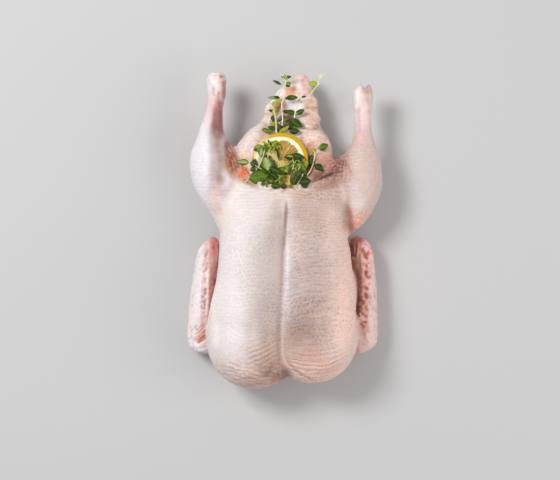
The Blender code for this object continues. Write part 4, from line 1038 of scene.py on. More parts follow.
shade(blob(U, W, 331, 167, 4, 6, 0, 0.9, rough) * TOP, (1.14, 0.98, 0.94))
shade(line_mask(U, W, [(216, 132), (217, 146), (218, 156)], 5.0) * TOP, (1.10, 1.04, 0.94))
shade(blob(U, W, 214, 129, 4, 8, 0, 0.9) * left_leg * TOP, (0.88, 0.66, 0.61))
shade(blob(U, W, 216, 142, 4.4, 6, 0, 0.9) * left_leg * TOP, (1.30, 1.30, 1.24))
# painted shade down the trough between the drumstick and the body
shade(line_mask(U, W, [(218.4, 149), (219.4, 157), (220.4, 165)], 4.4) * TOP, (0.80, 0.72, 0.69))
shade(blob(U, W, 222, 180, 6, 6, 20, 0.9, rough) * TOP, (0.84, 0.68, 0.62))
shade(blob(U, W, 218, 191, 8, 8, 30, 0.9, rough) * TOP, (0.86, 0.80, 0.77))
shade(blob(U, W, 222, 206, 4, 8, -10, 0.9) * TOP, (1.12, 1.16, 1.12))
shade(line_mask(U, W, [(222.6, 75), (223.4, 85)], 3.4) * left_leg, (0.94, 0.72, 0.66))
shade(blob(U, W, 224, 95, 2.8, 7, 0, 0.9) * left_leg, (0.80, 0.66, 0.62))
# painted shade in the fold below the tail's right wall
shade(blob(U, W, 318, 126, 4, 4, 0, 0.9) * TOP, (0.70, 0.62, 0.58))
# painted highlight on the tail's whitish top
shade(blob(U, W, 299, 86, 4, 5, 0, 0.9) * TOP, (1.12, 1.24, 1.20))
shade(blob(U, W, 308.4, 90, 3, 6, -10, 0.9) * TOP, (0.80, 0.74, 0.65))
shade(blob(U, W, 340, 180, 9, 4.4, -14, 0.9, rough) * TOP, (0.84, 0.78, 0.73))
shade(blob(U, W, 316, 187, 9, 5, -8, 0.9, rough) * TOP, (0.96, 0.80, 0.73))
shade(blob(U, W, 345, 191, 8, 8, -20, 0.9, rough) * TOP, (0.88, 0.82, 0.80))
shade(blob(U, W, 302, 195, 15, 6, 0, 0.9, rough) * TOP, (0.90, 0.83, 0.74))
# painted shade in the crease between the right thigh and the body
shade(blob(U, W, 345, 224, 4, 9, 0, 0.9) * TOP, (0.88, 0.78, 0.76))
shade(line_mask(U, W, [(216, 272), (214.6, 300), (212.6, 330)], 4.4) * TOP * BODY, (1.11, 1.12, 1.08))
shade(blob(U, W, 256.5, 334, 7, 18, 0, 0.9) * TOP * BODY, (1.18, 1.20, 1.20))
shade(blob(U, W, 316.5, 324, 7, 16, 0, 0.9) * TOP * BODY, (1.20, 1.23, 1.24))
shade(line_mask(U, W, [(217, 318), (216.5, 348)], 4.0) * TOP * BODY, (1.15, 1.17, 1.16))
shade(blob(U, W, 247, 366, 11, 6, 0, 0.9) * TOP * BODY, (1.18, 1.17, 1.18))
# wings
wing_left, wing_right = WING * LEFT, WING * RIGHT
mid_l = np.interp(W, [248, 276, 303, 324, 350], [206, 204.6, 203, 202, 201])
mid_r = np.interp(W, [244, 266, 290, 314, 350], [362, 368, 366.6, 364.6, 366])
paint(wing_left, (248, 236, 238), 0.92)
paint(wing_left * ramp(U - mid_l, -4.0, -1.0), (222, 186, 180), 0.85)
paint(wing_left * ramp(U - mid_l, 2.2, 4.6) * ramp(-W, -338, -318), (214, 146, 132), 0.9)
paint(wing_left * line_mask(U - mid_l, W, [(3.2, 262), (3.2, 318)], 1.2), (246, 214, 204), 0.7)
paint(line_mask(U, W, [(211.6, 238), (213.2, 246), (213.4, 258)], 3.0) * wing_left, (218, 116, 120), 0.95)
paint(line_mask(U, W, [(213.0, 241), (213.6, 251)], 1.0) * wing_left, (170, 66, 80), 0.8)
paint(line_mask(U, W, [(207.6, 241), (208.6, 250)], 1.4) * wing_left, (240, 200, 190), 0.7)
paint(blob(U, W, 210.6, 263, 2.2, 8, 0, 0.9) * wing_left, (216, 190, 160), 0.75)
paint(line_mask(U, W, [(195, 343), (202, 336), (209, 325)], 4.4) * wing_left, (238, 168, 156), 0.85)
paint(wing_left * ramp(W, 340, 347), (255, 244, 250), 0.9)
paint(wing_left * ramp(W, 351, 355), (200, 160, 166), 0.5)
shade(wing_left * line_mask(U - mid_l, W, [(1.0, 262), (1.0, 320)], 2.6), (1.26, 1.40, 1.48))
shade(wing_left * line_mask(U, W, [(197, 340), (200, 349)], 5.0), (1.24, 1.20, 1.20))
shade(blob(U, W, 215.6, 252, 2.4, 10, 0, 0.8) * wing_left, (1.06, 1.26, 1.24))
paint(wing_right, (238, 208, 206), 0.9)
paint(wing_right * ramp(mid_r - U, -4.6, -2.0) * ramp(-W, -346, -322), (246, 182, 166), 0.9)
paint(blob(U, W, 370, 251, 4, 8, 0, 0.8, rough) * wing_right, (240, 170, 158), 0.8)
paint(wing_right * ramp(mid_r - U, 3.2, 6.4) * ramp(-W, -330, -306), (176, 114, 104), 0.85)
paint(blob(U, W, 358, 262, 4, 14, 0, 0.8, rough) * wing_right, (180, 150, 122), 0.5)
paint(blob(U, W, 357, 245, 7, 9, 0, 0.8, rough) * wing_right, (182, 108, 106), 0.85)
paint(blob(U, W, 365.5, 306.5, 3.5, 3.5, 0, 0.8, rough) * wing_right, (240, 186, 96), 0.8)
# painted highlight on the puckered folds low on the right wing
paint(blob(U, W, 361, 321, 5, 6, 0, 0.8, rough) * wing_right, (252, 206, 188), 0.7)
paint(wing_right * ramp(W, 328, 342), (250, 214, 210), 0.85)
# painted shade on the right wing's inner side, by the gap to the body
shade(wing_right * ramp(mid_r - U, 2.0, 4.6) * ramp(W, 262, 276) * (1 - ramp(W, 310, 326)), (0.60, 0.50, 0.50))
shade(wing_right * line_mask(U - mid_r, W, [(-1.4, 266), (-1.0, 300)], 2.0), (0.92, 0.80, 0.78))
shade(blob(U, W, 370, 252, 4, 8, 0, 0.8) * wing_right, (1.28, 1.10, 1.10))
shade(blob(U, W, 361, 240, 4.6, 4, 0, 0.9) * wing_right, (0.56, 0.42, 0.42))
# painted shadow in the gap between the right wing and the body
shade(line_mask(U, W, [(351, 240), (354, 252), (354, 262)], 3.6) * wing_right, (0.50, 0.46, 0.50))
# pits darkened and reddened: partly their redder skin, partly painted shade in them, here, on the next line and on the
# fourth
shade(line_mask(U, W, [(365, 252), (367, 258), (368, 264)], 2.4) * wing_right, (0.60, 0.42, 0.44))
shade(blob(U, W, 368, 270, 3, 5, 0, 0.8) * wing_right, (0.68, 0.50, 0.50))
# painted highlight on the wing's ridge
shade(line_mask(U, W, [(361, 264), (363, 280), (365, 291)], 2.2) * wing_right, (1.30, 1.34, 1.42))
# painted shade beside the ridge, towards the gap to the body
shade(line_mask(U, W, [(360.4, 291), (360.6, 308)], 2.0) * wing_right, (0.68, 0.54, 0.58))
shade(blob(U, W, 369, 297, 3, 6, 0, 0.8) * wing_right, (0.80, 0.66, 0.66))
# painted highlight on the puckered folds low on the right wing
shade(blob(U, W, 362.4, 318, 5, 5, 0, 0.8) * wing_right, (1.36, 1.48, 1.58))
shade(blob(U, W, 361.6, 331, 4, 6, 0, 0.8) * wing_right, (0.76, 0.60, 0.58))
# under side and creases
paint(ramp(-NZ, 0.1, 0.7) * (1 - WING), (228, 196, 182), 0.7)
# creases darker and bulges lighter: partly the skin's redder folds, partly painted shade in the creases and painted
# highlight on the bulges
crease = np.clip(-fine / 0.9, 0.0, 1.0)
bulge = np.clip(fine / 0.9, 0.0, 1.0)
paint(crease, (172, 112, 96), 0.42)
paint(bulge, (248, 232, 222), 0.28)
paint(crease * (web_left + web_right + WING * LEFT), (120, 66, 52), 0.45)
paint(crease * WING * RIGHT, (158, 74, 66), 0.5)
paint(bulge * WING * RIGHT, (250, 206, 192), 0.35)
paint(crease * web_right, (96, 56, 44), 0.4)

# how strongly the skin is pleated, and how much of its dotted grain shows
crimp = np.clip(0.40 * BODY + 0.5 * mid_right + 0.3 * low_right + 0.05 * blob(U, W, 255, 300, 45, 70) - 0.2 * ramp(-U, -262, -240) * ramp(W, 196, 230) * (1 - ramp(W, 352, 366)), 0, 1) * (1 - WING)
crimp = crimp + (0.4 * blob(U, W, 308, 266, 24, 30) + 0.35 * blob(U, W, 312, 236, 32, 34)) * BODY
crimp = np.clip(crimp + 0.34 * LEG * ramp(W, 130, 160), 0.0, 1.0)
dots = 0.36 + 0.25 * drift + 0.34 * ramp(U, 284, 296) + 0.55 * blob(U, W, 312, 322, 32, 32) + 0.4 * blob(U, W, 268, 312, 14, 34)
dots = dots + 0.6 * blob(U, W, 322, 190, 28, 14) - 0.16 * ramp(-W, -236, -200) * BODY * LEFT
dots = np.clip(dots * (1 - 0.6 * LEG) - WING - 0.5 * ankle, 0.0, 1.0)
dots = dots * (1 - np.clip(tail + inside, 0, 1))


def attribute(mesh, name, kind, values):
    a = mesh.attributes.new(name=name, type=kind, domain="POINT")
    a.data.foreach_set("vector" if kind == "FLOAT_VECTOR" else "value", np.ascontiguousarray(values, np.float32).ravel())


duck = mesh_object("duck_skin", v, faces)
attribute(duck.data, "tint", "FLOAT_VECTOR", tint)
attribute(duck.data, "flow", "FLOAT_VECTOR", np.stack([across, rows, Z], 1))
attribute(duck.data, "crimp", "FLOAT", crimp)
attribute(duck.data, "dots", "FLOAT", dots)


# ---- materials -------------------------------------------------------------------------------------------------------
class Graph:
    """A node material, built value by value."""

    def __init__(self, name):
        self.material = bpy.data.materials.new(name)
        self.material.use_nodes = True
        self.tree = self.material.node_tree
        self.bsdf = self.tree.nodes["Principled BSDF"]
        self.spot = 0

    def put(self, socket, value):
        if isinstance(value, bpy.types.NodeSocket):
            self.tree.links.new(value, socket)
        elif isinstance(value, (tuple, list)) and len(value) == 3 and socket.type == "RGBA":
            socket.default_value = (*value, 1.0)
        else:
            socket.default_value = value

    def node(self, kind, **props):
        n = self.tree.nodes.new(kind)
        self.spot += 1
        n.location = (-200 * (self.spot // 6) - 300, -160 * (self.spot % 6))
        for key, value in props.items():
            setattr(n, key, value)
        return n

    def attr(self, name, out="Fac"):
        return self.node("ShaderNodeAttribute", attribute_name=name).outputs[out]

    def math(self, op, a, b=None, c=None):
        n = self.node("ShaderNodeMath", operation=op)
        for i, x in enumerate((a, b, c)):
            if x is not None:
                self.put(n.inputs[i], x)
        return n.outputs[0]

    def vmath(self, op, a, b=None):
        n = self.node("ShaderNodeVectorMath", operation=op)
        self.put(n.inputs[0], a)
        if b is not None:
            self.put(n.inputs[1], b)
        return n.outputs[0]

    def ramp(self, x, a, b, lo=0.0, hi=1.0):
        n = self.node("ShaderNodeMapRange", interpolation_type="SMOOTHSTEP", clamp=True)
        for key, value in (("Value", x), ("From Min", a), ("From Max", b), ("To Min", lo), ("To Max", hi)):
            self.put(n.inputs[key], value)
        return n.outputs["Result"]

    def noise(self, where, scale, detail=2.0, rough=0.5, out="Fac"):
        n = self.node("ShaderNodeTexNoise")
        self.put(n.inputs["Vector"], where)
        self.put(n.inputs["Scale"], scale)
        self.put(n.inputs["Detail"], detail)
        self.put(n.inputs["Roughness"], rough)
        return n.outputs[out]

    def cells(self, where, scale, random=1.0, feature="F1", dims="3D"):
        n = self.node("ShaderNodeTexVoronoi", feature=feature, voronoi_dimensions=dims)
        self.put(n.inputs["Vector"], where)
        self.put(n.inputs["Scale"], scale)
        self.put(n.inputs["Randomness"], random)
        return n

    def mix(self, fac, a, b, blend="MIX"):
        n = self.node("ShaderNodeMix", data_type="RGBA", blend_type=blend, clamp_factor=True)
        self.put(n.inputs[0], fac)
        self.put(n.inputs[6], a)
        self.put(n.inputs[7], b)
        return n.outputs[2]

    def split(self, vector):
        n = self.node("ShaderNodeSeparateXYZ")
        self.put(n.inputs[0], vector)
        return n.outputs

    def join(self, x, y, z):
        n = self.node("ShaderNodeCombineXYZ")
        for i, a in enumerate((x, y, z)):
            self.put(n.inputs[i], a)
        return n.outputs[0]

    def place(self):
        """Millimetres in the part's own space."""
        n = self.node("ShaderNodeTexCoord")
        return self.vmath("MULTIPLY", n.outputs["Object"], (1000.0, 1000.0, 1000.0))

    def bump(self, height, strength=1.0, distance=0.001):
        n = self.node("ShaderNodeBump")
        self.put(n.inputs["Strength"], strength)
        self.put(n.inputs["Distance"], distance)
        self.put(n.inputs["Height"], height)
        self.put(self.bsdf.inputs["Normal"], n.outputs[0])

    def set(self, **values):
        for key, value in values.items():
            self.put(self.bsdf.inputs[key.replace("_", " ")], value)


def skin_material():
    g = Graph("raw_skin")
    mm = g.place()
    flow = g.split(g.attr("flow", "Vector"))
    crimp, dots = g.attr("crimp"), g.attr("dots")
    wander = g.noise(mm, 0.11, 2.0)
    patch = g.noise(mm, 0.06, 3.0)
    # pleats: broken lines 3.7 mm apart
    row = g.math("ADD", flow[1], g.math("MULTIPLY", wander, 4.4))
    wave = g.math("SINE", g.math("MULTIPLY", row, 1.698))
    breaks = g.noise(g.join(g.math("MULTIPLY", flow[0], 0.16), g.math("MULTIPLY", flow[1], 0.42), 0.0), 1.0, 2.0)
    pleat = g.math("MULTIPLY", wave, g.ramp(breaks, 0.32, 0.62))
    # follicles: pits along the pleats, every other row half a step aside
    lift = g.math("ADD", row, 2.775)
    aside = g.math("MULTIPLY", g.math("FLOOR", g.math("DIVIDE", lift, 3.7)), 1.85)
    cell = g.cells(g.join(g.math("ADD", flow[0], aside), lift, 0.0), 0.27, 0.5, dims="2D")
    pit = g.ramp(cell.outputs["Distance"], 0.04, 0.50, 1.0, 0.0)
    pit = g.math("MULTIPLY", pit, g.math("MULTIPLY", dots, g.ramp(patch, 0.3, 0.6, 0.45, 1.0)))
    fuzz = g.noise(mm, 0.9, 3.0, 0.6)
    mottle = g.noise(mm, 0.24, 4.0, 0.62)
    red = g.noise(mm, 0.16, 5.0, 0.68)
    colour = g.attr("tint", "Vector")
    colour = g.mix(g.ramp(red, 0.5, 0.72, 0.0, 0.22), colour, (0.74, 0.42, 0.36), "MIX")
    colour = g.mix(g.ramp(mottle, 0.35, 0.68, 0.0, 0.34), colour, g.mix(1.0, colour, (1.09, 1.08, 1.07), "MULTIPLY"))
    # pleat grooves darkened in colour: painted shade in the grooves
    groove = g.math("MULTIPLY", g.ramp(pleat, 0.1, -0.95), crimp)
    colour = g.mix(g.math("MULTIPLY", groove, 0.42), colour, g.mix(1.0, colour, (0.70, 0.60, 0.58), "MULTIPLY"))
    colour = g.mix(g.math("MULTIPLY", pit, 0.66), colour, g.mix(1.0, colour, (0.64, 0.55, 0.53), "MULTIPLY"))
    height = g.math("MULTIPLY", g.math("MULTIPLY", pleat, crimp), 0.30)
    height = g.math("SUBTRACT", height, g.math("MULTIPLY", pit, 0.40))
    height = g.math("ADD", height, g.math("MULTIPLY", fuzz, 0.26))
    height = g.math("ADD", height, g.math("MULTIPLY", mottle, 0.55))
    g.bump(height)
    g.set(Base_Color=colour, Roughness=g.ramp(g.noise(mm, 0.4, 3.0), 0.3, 0.7, 0.34, 0.50))
    g.set(Subsurface_Weight=0.16, Subsurface_Radius=(1.0, 0.35, 0.2), Subsurface_Scale=0.002, Specular_IOR_Level=0.5)
    return g.material


duck.data.materials.append(skin_material())



# ---- lemon slice -----------------------------------------------------------------------------------------------------
def lemon_mesh():
    """A slice turned on its own axis: pulp in segments, membranes, pith and a pored rind."""
    turns, rings = 240, 36
    angle = 2 * math.pi * np.arange(turns) / turns
    top = [(0.012 + 0.945 * (i / (rings - 1)) ** 0.86, 1.0) for i in range(rings)]
    side = [(0.978, 0.93), (0.992, 0.72), (0.999, 0.4), (1.0, 0.0), (0.999, -0.4), (0.992, -0.72), (0.978, -0.93)]
    rows_ = top + side + [(a, -b) for a, b in reversed(top)]
    share = np.array([a for a, _ in rows_])[:, None] * np.ones((1, turns))
    level = np.array([b for _, b in rows_])[:, None] * np.ones((1, turns))
    a = angle[None, :] * np.ones((len(rows_), 1))
    outline = LEMON_RADIUS + 0.1 + 0.22 * np.sin(2 * a + 0.6) + 0.14 * np.sin(5 * a + 1.9)
    r = share * outline
    x, y = r * np.cos(a), r * np.sin(a)
    flat = np.stack([x, y, level * 3.0], -1).reshape(-1, 3)
    # ten segments of uneven width
    walls = np.cumsum([0.62, 0.70, 0.55, 0.66, 0.60, 0.72, 0.52, 0.68, 0.63, 0.60])
    walls = walls / walls[-1] * 2 * math.pi + 0.35
    gap = np.min(np.abs((a[None] - walls[:, None, None] + math.pi) % (2 * math.pi) - math.pi), axis=0)
    wall = gap * r + 0.18 * noise(flat, 3.0, 61).reshape(r.shape)
    lean = np.cos(a - math.radians(48))  # the cut runs a little aslant, so the rind shows more on one side
    rind_edge = 0.912 - 0.042 * lean - 0.024 * ramp(lean, -0.1, 0.8)
    pulp_edge = rind_edge - 0.122 - 0.04 * np.exp(-((gap / 0.10) ** 2)) + 0.008 * np.sin(7 * a)
    pulp = (0.62 + 0.38 * ramp(wall, 0.05, 0.5)) * (1 - ramp(share, pulp_edge - 0.02, pulp_edge + 0.01)) * (0.7 + 0.3 * ramp(share, 0.02, 0.06))
    streak = noise(np.stack([a * 15.0, r * 0.16, 0 * a], -1).reshape(-1, 3), 1.0, 62).reshape(r.shape)
    drop = noise(np.stack([a * 24.0, r * 0.3, 0 * a + 3], -1).reshape(-1, 3), 1.0, 63).reshape(r.shape)
    dip = pulp * (-0.45 + 0.42 * streak + 0.2 * drop) + 0.12 * noise(flat, 2.5, 64).reshape(r.shape) * (1 - pulp)
    rind = ramp(share - rind_edge, -0.01, 0.01)
    face_z = LEMON_THICK / 2 - 0.15
    z = np.sign(level) * np.minimum(np.abs(level), 1.0) * face_z + np.sign(level) * (np.abs(level) > 0.98) * dip * (1 - rind)
    v = np.stack([x, y, z], -1).reshape(-1, 3)
    # colours
    pith, skin = linear((255, 252, 226)), linear((222, 172, 2))
    # the pulp lighter and yellower towards the left, as painted light lifting the shade on that side of the slice, and
    # darker and more orange towards the right
    flesh = linear((238, 218, 138)) + ramp(lean, -0.1, 0.7)[..., None] * (linear((198, 150, 48)) - linear((238, 218, 138)))
    clear = linear((238, 206, 108))
    tint = pith + (1 - rind)[..., None] * pulp[..., None] * (flesh - pith)
    tint = tint + (pulp * ramp(streak, 0.0, 0.8) * 0.7)[..., None] * (clear - tint)
    tint = tint + (pulp * ramp(-streak, 0.2, 0.9) * 0.6)[..., None] * (linear((182, 122, 30)) - tint)
    # the pulp darkened further towards the right
    tint = tint * (1 - (pulp * ramp(lean, 0.0, 0.6) * (1 - rind))[..., None] * np.array([0.14, 0.15, 0.56]))
    tint = tint + rind[..., None] * (skin - tint)
    pale = ramp(-lean, -0.55, 0.05)
    tint = tint + (rind * pale * 0.9)[..., None] * (linear((255, 242, 168)) - tint)
    tint = tint + (ramp(share, 0.962, 0.97) * ramp(np.abs(level), 0.6, 1.0))[..., None] * 0.25 * (linear((206, 160, 4)) - tint)
    tint = tint + (rind * ramp(noise(flat, 9.0, 65).reshape(r.shape), -0.2, 0.9) * 0.5)[..., None] * (linear((236, 190, 18)) - tint)
    n = len(rows_)
    i, j = np.meshgrid(np.arange(n - 1), np.arange(turns), indexing="ij")
    k = (j + 1) % turns
    quads = np.stack([i * turns + j, (i + 1) * turns + j, (i + 1) * turns + k, i * turns + k], -1).reshape(-1, 4)
    tris = split_quads(v, quads)
    v = np.concatenate([v, [[0, 0, face_z - 0.3], [0, 0, -face_z + 0.3]]])
    c = np.arange(turns)
    d = (c + 1) % turns
    caps = [np.stack([np.full(turns, n * turns), c, d], 1), np.stack([np.full(turns, n * turns + 1), (n - 1) * turns + d, (n - 1) * turns + c], 1)]
    m = np.array(SEAT)
    placed = v @ m[:3, :3].T + m[:3, 3]
    pu, pw = 284.5 + placed[:-2, 0] / STEP, 230.5 - placed[:-2, 1] / STEP
    # a patch of the pulp under the leaves painted bright orange: painted light lifting the shade of the leaves over it
    deep = blob(pu, pw, 286.5, 181, 7, 9, 0, 0.9).reshape(r.shape) * ramp(level, 0.5, 0.9)
    tint = tint + (deep * 0.9)[..., None] * (linear((255, 196, 84)) - tint)
    wet = np.concatenate([pulp.ravel(), [0, 0]])
    tints = np.concatenate([tint.reshape(-1, 3), [pith, pith]])
    polar = np.concatenate([np.stack([a * 20.0, r, z], -1).reshape(-1, 3), [[0, 0, 0], [0, 0, 0]]])
    rinds = np.concatenate([rind.ravel(), [0, 0]])
    return placed, np.concatenate([tris] + caps), tints, wet, rinds, polar


lv, lf, ltint, lwet, lrind, lpolar = lemon_mesh()
lemon = mesh_object("lemon_wheel", lv, lf)
attribute(lemon.data, "tint", "FLOAT_VECTOR", ltint)
attribute(lemon.data, "pulp", "FLOAT", lwet)
attribute(lemon.data, "rind", "FLOAT", lrind)
attribute(lemon.data, "polar", "FLOAT_VECTOR", lpolar)


def lemon_material():
    g = Graph("lemon_flesh_and_rind")
    mm = g.place()
    pulp, rind = g.attr("pulp"), g.attr("rind")
    pores = g.cells(mm, 0.85, 0.8)
    pore = g.math("MULTIPLY", g.ramp(pores.outputs["Distance"], 0.1, 0.42, 1.0, 0.0), rind)
    threads = g.noise(g.vmath("MULTIPLY", g.attr("polar", "Vector"), (1.0, 0.3, 1.0)), 1.1, 3.0)
    colour = g.attr("tint", "Vector")
    colour = g.mix(g.math("MULTIPLY", g.ramp(threads, 0.5, 0.75), g.math("MULTIPLY", pulp, 0.35)), colour, (0.82, 0.70, 0.34))
    colour = g.mix(g.math("MULTIPLY", pore, 0.3), colour, (0.62, 0.34, 0.02))
    soft = g.noise(mm, 0.8, 3.0)
    height = g.math("ADD", g.math("MULTIPLY", g.math("MULTIPLY", threads, pulp), 0.45), g.math("MULTIPLY", soft, 0.1))
    height = g.math("SUBTRACT", height, g.math("MULTIPLY", pore, 0.28))
    g.bump(height)
    g.set(Base_Color=colour, Roughness=g.math("SUBTRACT", 0.52, g.math("MULTIPLY", pulp, 0.24)), Specular_IOR_Level=g.math("SUBTRACT", 0.5, g.math("MULTIPLY", rind, 0.3)))
    g.set(Subsurface_Weight=0.2, Subsurface_Radius=(1.0, 0.8, 0.3), Subsurface_Scale=0.003)
    return g.material


lemon.data.materials.append(lemon_material())

# ---- herbs -----------------------------------------------------------------------------------------------------------
skin_tree = BVHTree.FromPolygons(v.tolist(), faces.tolist())
CORE = ((-13.0, 55.0, 62.6), (10.0, 6.5, 4.0))


def ground(u, w, bunch=True):
    """Height of what lies under a plan position: skin, slice or the bunch's core."""
    x, y = plan(u, w)
    hit = skin_tree.ray_cast(Vector((x, y, 150.0)), Vector((0, 0, -1)))[0]
    z = hit.z if hit is not None else 0.0
    dx, dy = x - LEMON_CENTRE[0], (y - LEMON_CENTRE[1]) / math.cos(math.radians(LEMON_TILT))
    if math.hypot(dx, dy) < LEMON_RADIUS:
        z = max(z, LEMON_CENTRE[2] + (y - LEMON_CENTRE[1]) * math.tan(math.radians(LEMON_TILT)) + LEMON_THICK / 1.8)
    if bunch:  # the heap rises towards the skin's edge
        q = 1 - ((x + 1.5) / 28.0) ** 2 - ((y - 57.0) / 20.0) ** 2
        dip = math.exp(-(((u - 286.4) / 6.0) ** 2) - ((w - 180.0) / 7.0) ** 2)
        if q > 0:
            z = max(z, 58.5 + (5.0 + 0.28 * (66.0 - y)) * math.sqrt(q) * (1 - 0.75 * dip))
    return z


class Herb:
    """Gathers closed leaf blades and stems into one mesh."""

    def __init__(self):
        self.v, self.f, self.blade, self.tone = [], [], [], []
        self.count = 0

    def take(self, v, quads, blade, tone):
        self.v.append(v)
        self.f.append(quads + self.count)
        self.blade.append(blade)
        self.tone.append(np.full(len(v), tone))
        self.count += len(v)

    def leaf(self, at, length, width, heading, pitch=0.0, roll=0.0, cup=0.3, curl=0.25, tone=0.4, seed=0):
        """at is the middle of the leaf, in millimetres; heading 0 points to +X, 90 to +Y."""
        rng = np.random.default_rng(seed + 1)
        nt, ns = 11, 4
        t = np.linspace(0.0, 1.0, nt)
        body = np.clip((t - 0.05) / 0.95, 0.0, 1.0)
        full = 0.82 + 0.5 * min(max(width / length - 0.5, 0.0), 0.5) if tone < 1.45 else 0.6
        half = 0.5 * width * np.sin(math.pi * body**0.82) ** full + 0.32 * (1 - t) + 0.05
        s = np.concatenate([np.linspace(-1, 1, 2 * ns + 1), np.linspace(1, -1, 2 * ns + 1)[1:-1]])
        upper = np.concatenate([np.ones(2 * ns + 1), -np.ones(2 * ns - 1)])
        upper[0] = upper[2 * ns] = 0.0
        T, S = np.meshgrid(t, s, indexing="ij")
        H = half[:, None]
        side = rng.uniform(-0.16, 0.16)
        x = (T - 0.5) * length
        y = S * H + side * length * (T - 0.3) ** 2
        z = -cup * H * S**2 - curl * length * (T - 0.42) ** 2
        z = z - 0.10 * width * np.exp(-((S / 0.22) ** 2)) * np.sin(math.pi * np.clip(T, 0, 1))
        z = z + 0.16 * np.sin(2 * math.pi * (4.5 * T - 1.3 * np.abs(S))) * (np.abs(S) > 0.1) * np.sin(math.pi * T)
        z = z + 0.2 * upper[None, :] * (1 - 0.5 * np.abs(S))
        p = np.stack([x, y, z], -1).reshape(-1, 3)
        m = (
            Matrix.Rotation(math.radians(heading), 3, "Z")
            @ Matrix.Rotation(math.radians(-pitch), 3, "Y")
            @ Matrix.Rotation(math.radians(roll), 3, "X")
        )
        p = p @ np.array(m).T + np.array(at)
        n = len(s)
        i, j = np.meshgrid(np.arange(nt - 1), np.arange(n), indexing="ij")
        k = (j + 1) % n
        quads = np.stack([i * n + j, i * n + k, (i + 1) * n + k, (i + 1) * n + j], -1).reshape(-1, 4)
        ends = []
        for row, flip in ((0, False), (nt - 1, True)):
            # closed by a strip between upper and lower edge points
            up = list(range(0, 2 * ns + 1))
            low = [0] + [n - q for q in range(1, 2 * ns)] + [2 * ns]
            for q in range(2 * ns):
                face = [row * n + up[q], row * n + up[q + 1], row * n + low[q + 1], row * n + low[q]]
                ends.append(face[::-1] if flip else face)
        quads = np.concatenate([quads, np.array(ends)])
        blade = np.stack([T, S, np.tile(upper, (nt, 1))], -1).reshape(-1, 3)
        self.take(p, quads, blade, tone)

    def stem(self, points, radius, tone=0.8, sides=8):
        pts = [Vector(p) for p in points]
        # a smooth curve through the points
        line = []
        for i in range(len(pts) - 1):
            p0, p1 = pts[max(i - 1, 0)], pts[i]
            p2, p3 = pts[i + 1], pts[min(i + 2, len(pts) - 1)]
            for q in range(6):
                t = q / 6
                line.append(0.5 * (2 * p1 + (p2 - p0) * t + (2 * p0 - 5 * p1 + 4 * p2 - p3) * t * t + (3 * p1 - p0 - 3 * p2 + p3) * t**3))
        line.append(pts[-1])
        rings = []
        for i, p in enumerate(line):
            d = (line[min(i + 1, len(line) - 1)] - line[max(i - 1, 0)]).normalized()
            a = d.cross(Vector((0, 0, 1)))
            a = a.normalized() if a.length > 1e-3 else Vector((1, 0, 0))
            b = d.cross(a)
            r = radius * (1 - 0.4 * i / (len(line) - 1)) * (0.35 if i in (0, len(line) - 1) else 1.0)
            r = r * (1 + 0.12 * math.sin(1.7 * i))
            rings.append([p + r * (math.cos(2 * math.pi * k / sides) * a + math.sin(2 * math.pi * k / sides) * b) for k in range(sides)])
        v = np.array([list(p) for ring in rings for p in ring] + [list(line[0]), list(line[-1])])
        n = sides
        quads = [[i * n + k, i * n + (k + 1) % n, (i + 1) * n + (k + 1) % n, (i + 1) * n + k] for i in range(len(line) - 1) for k in range(n)]
        last = len(line) - 1
        quads += [[len(v) - 2, (k + 1) % n, k, k] for k in range(n)]
        quads += [[len(v) - 1, last * n + k, last * n + (k + 1) % n, last * n + (k + 1) % n] for k in range(n)]
        self.take(v, np.array(quads), np.tile([0.5, 0.5, 2.0], (len(v), 1)), tone)

    def make(self, name):
        v, f = np.concatenate(self.v), np.concatenate(self.f)
        split = np.concatenate([f[:, [0, 1, 2]], f[:, [0, 2, 3]]])
        good = (split[:, 0] != split[:, 1]) & (split[:, 1] != split[:, 2]) & (split[:, 0] != split[:, 2])
        obj = mesh_object(name, v, split[good])
        attribute(obj.data, "blade", "FLOAT_VECTOR", np.concatenate(self.blade))
        attribute(obj.data, "tone", "FLOAT", np.concatenate(self.tone))
        return obj


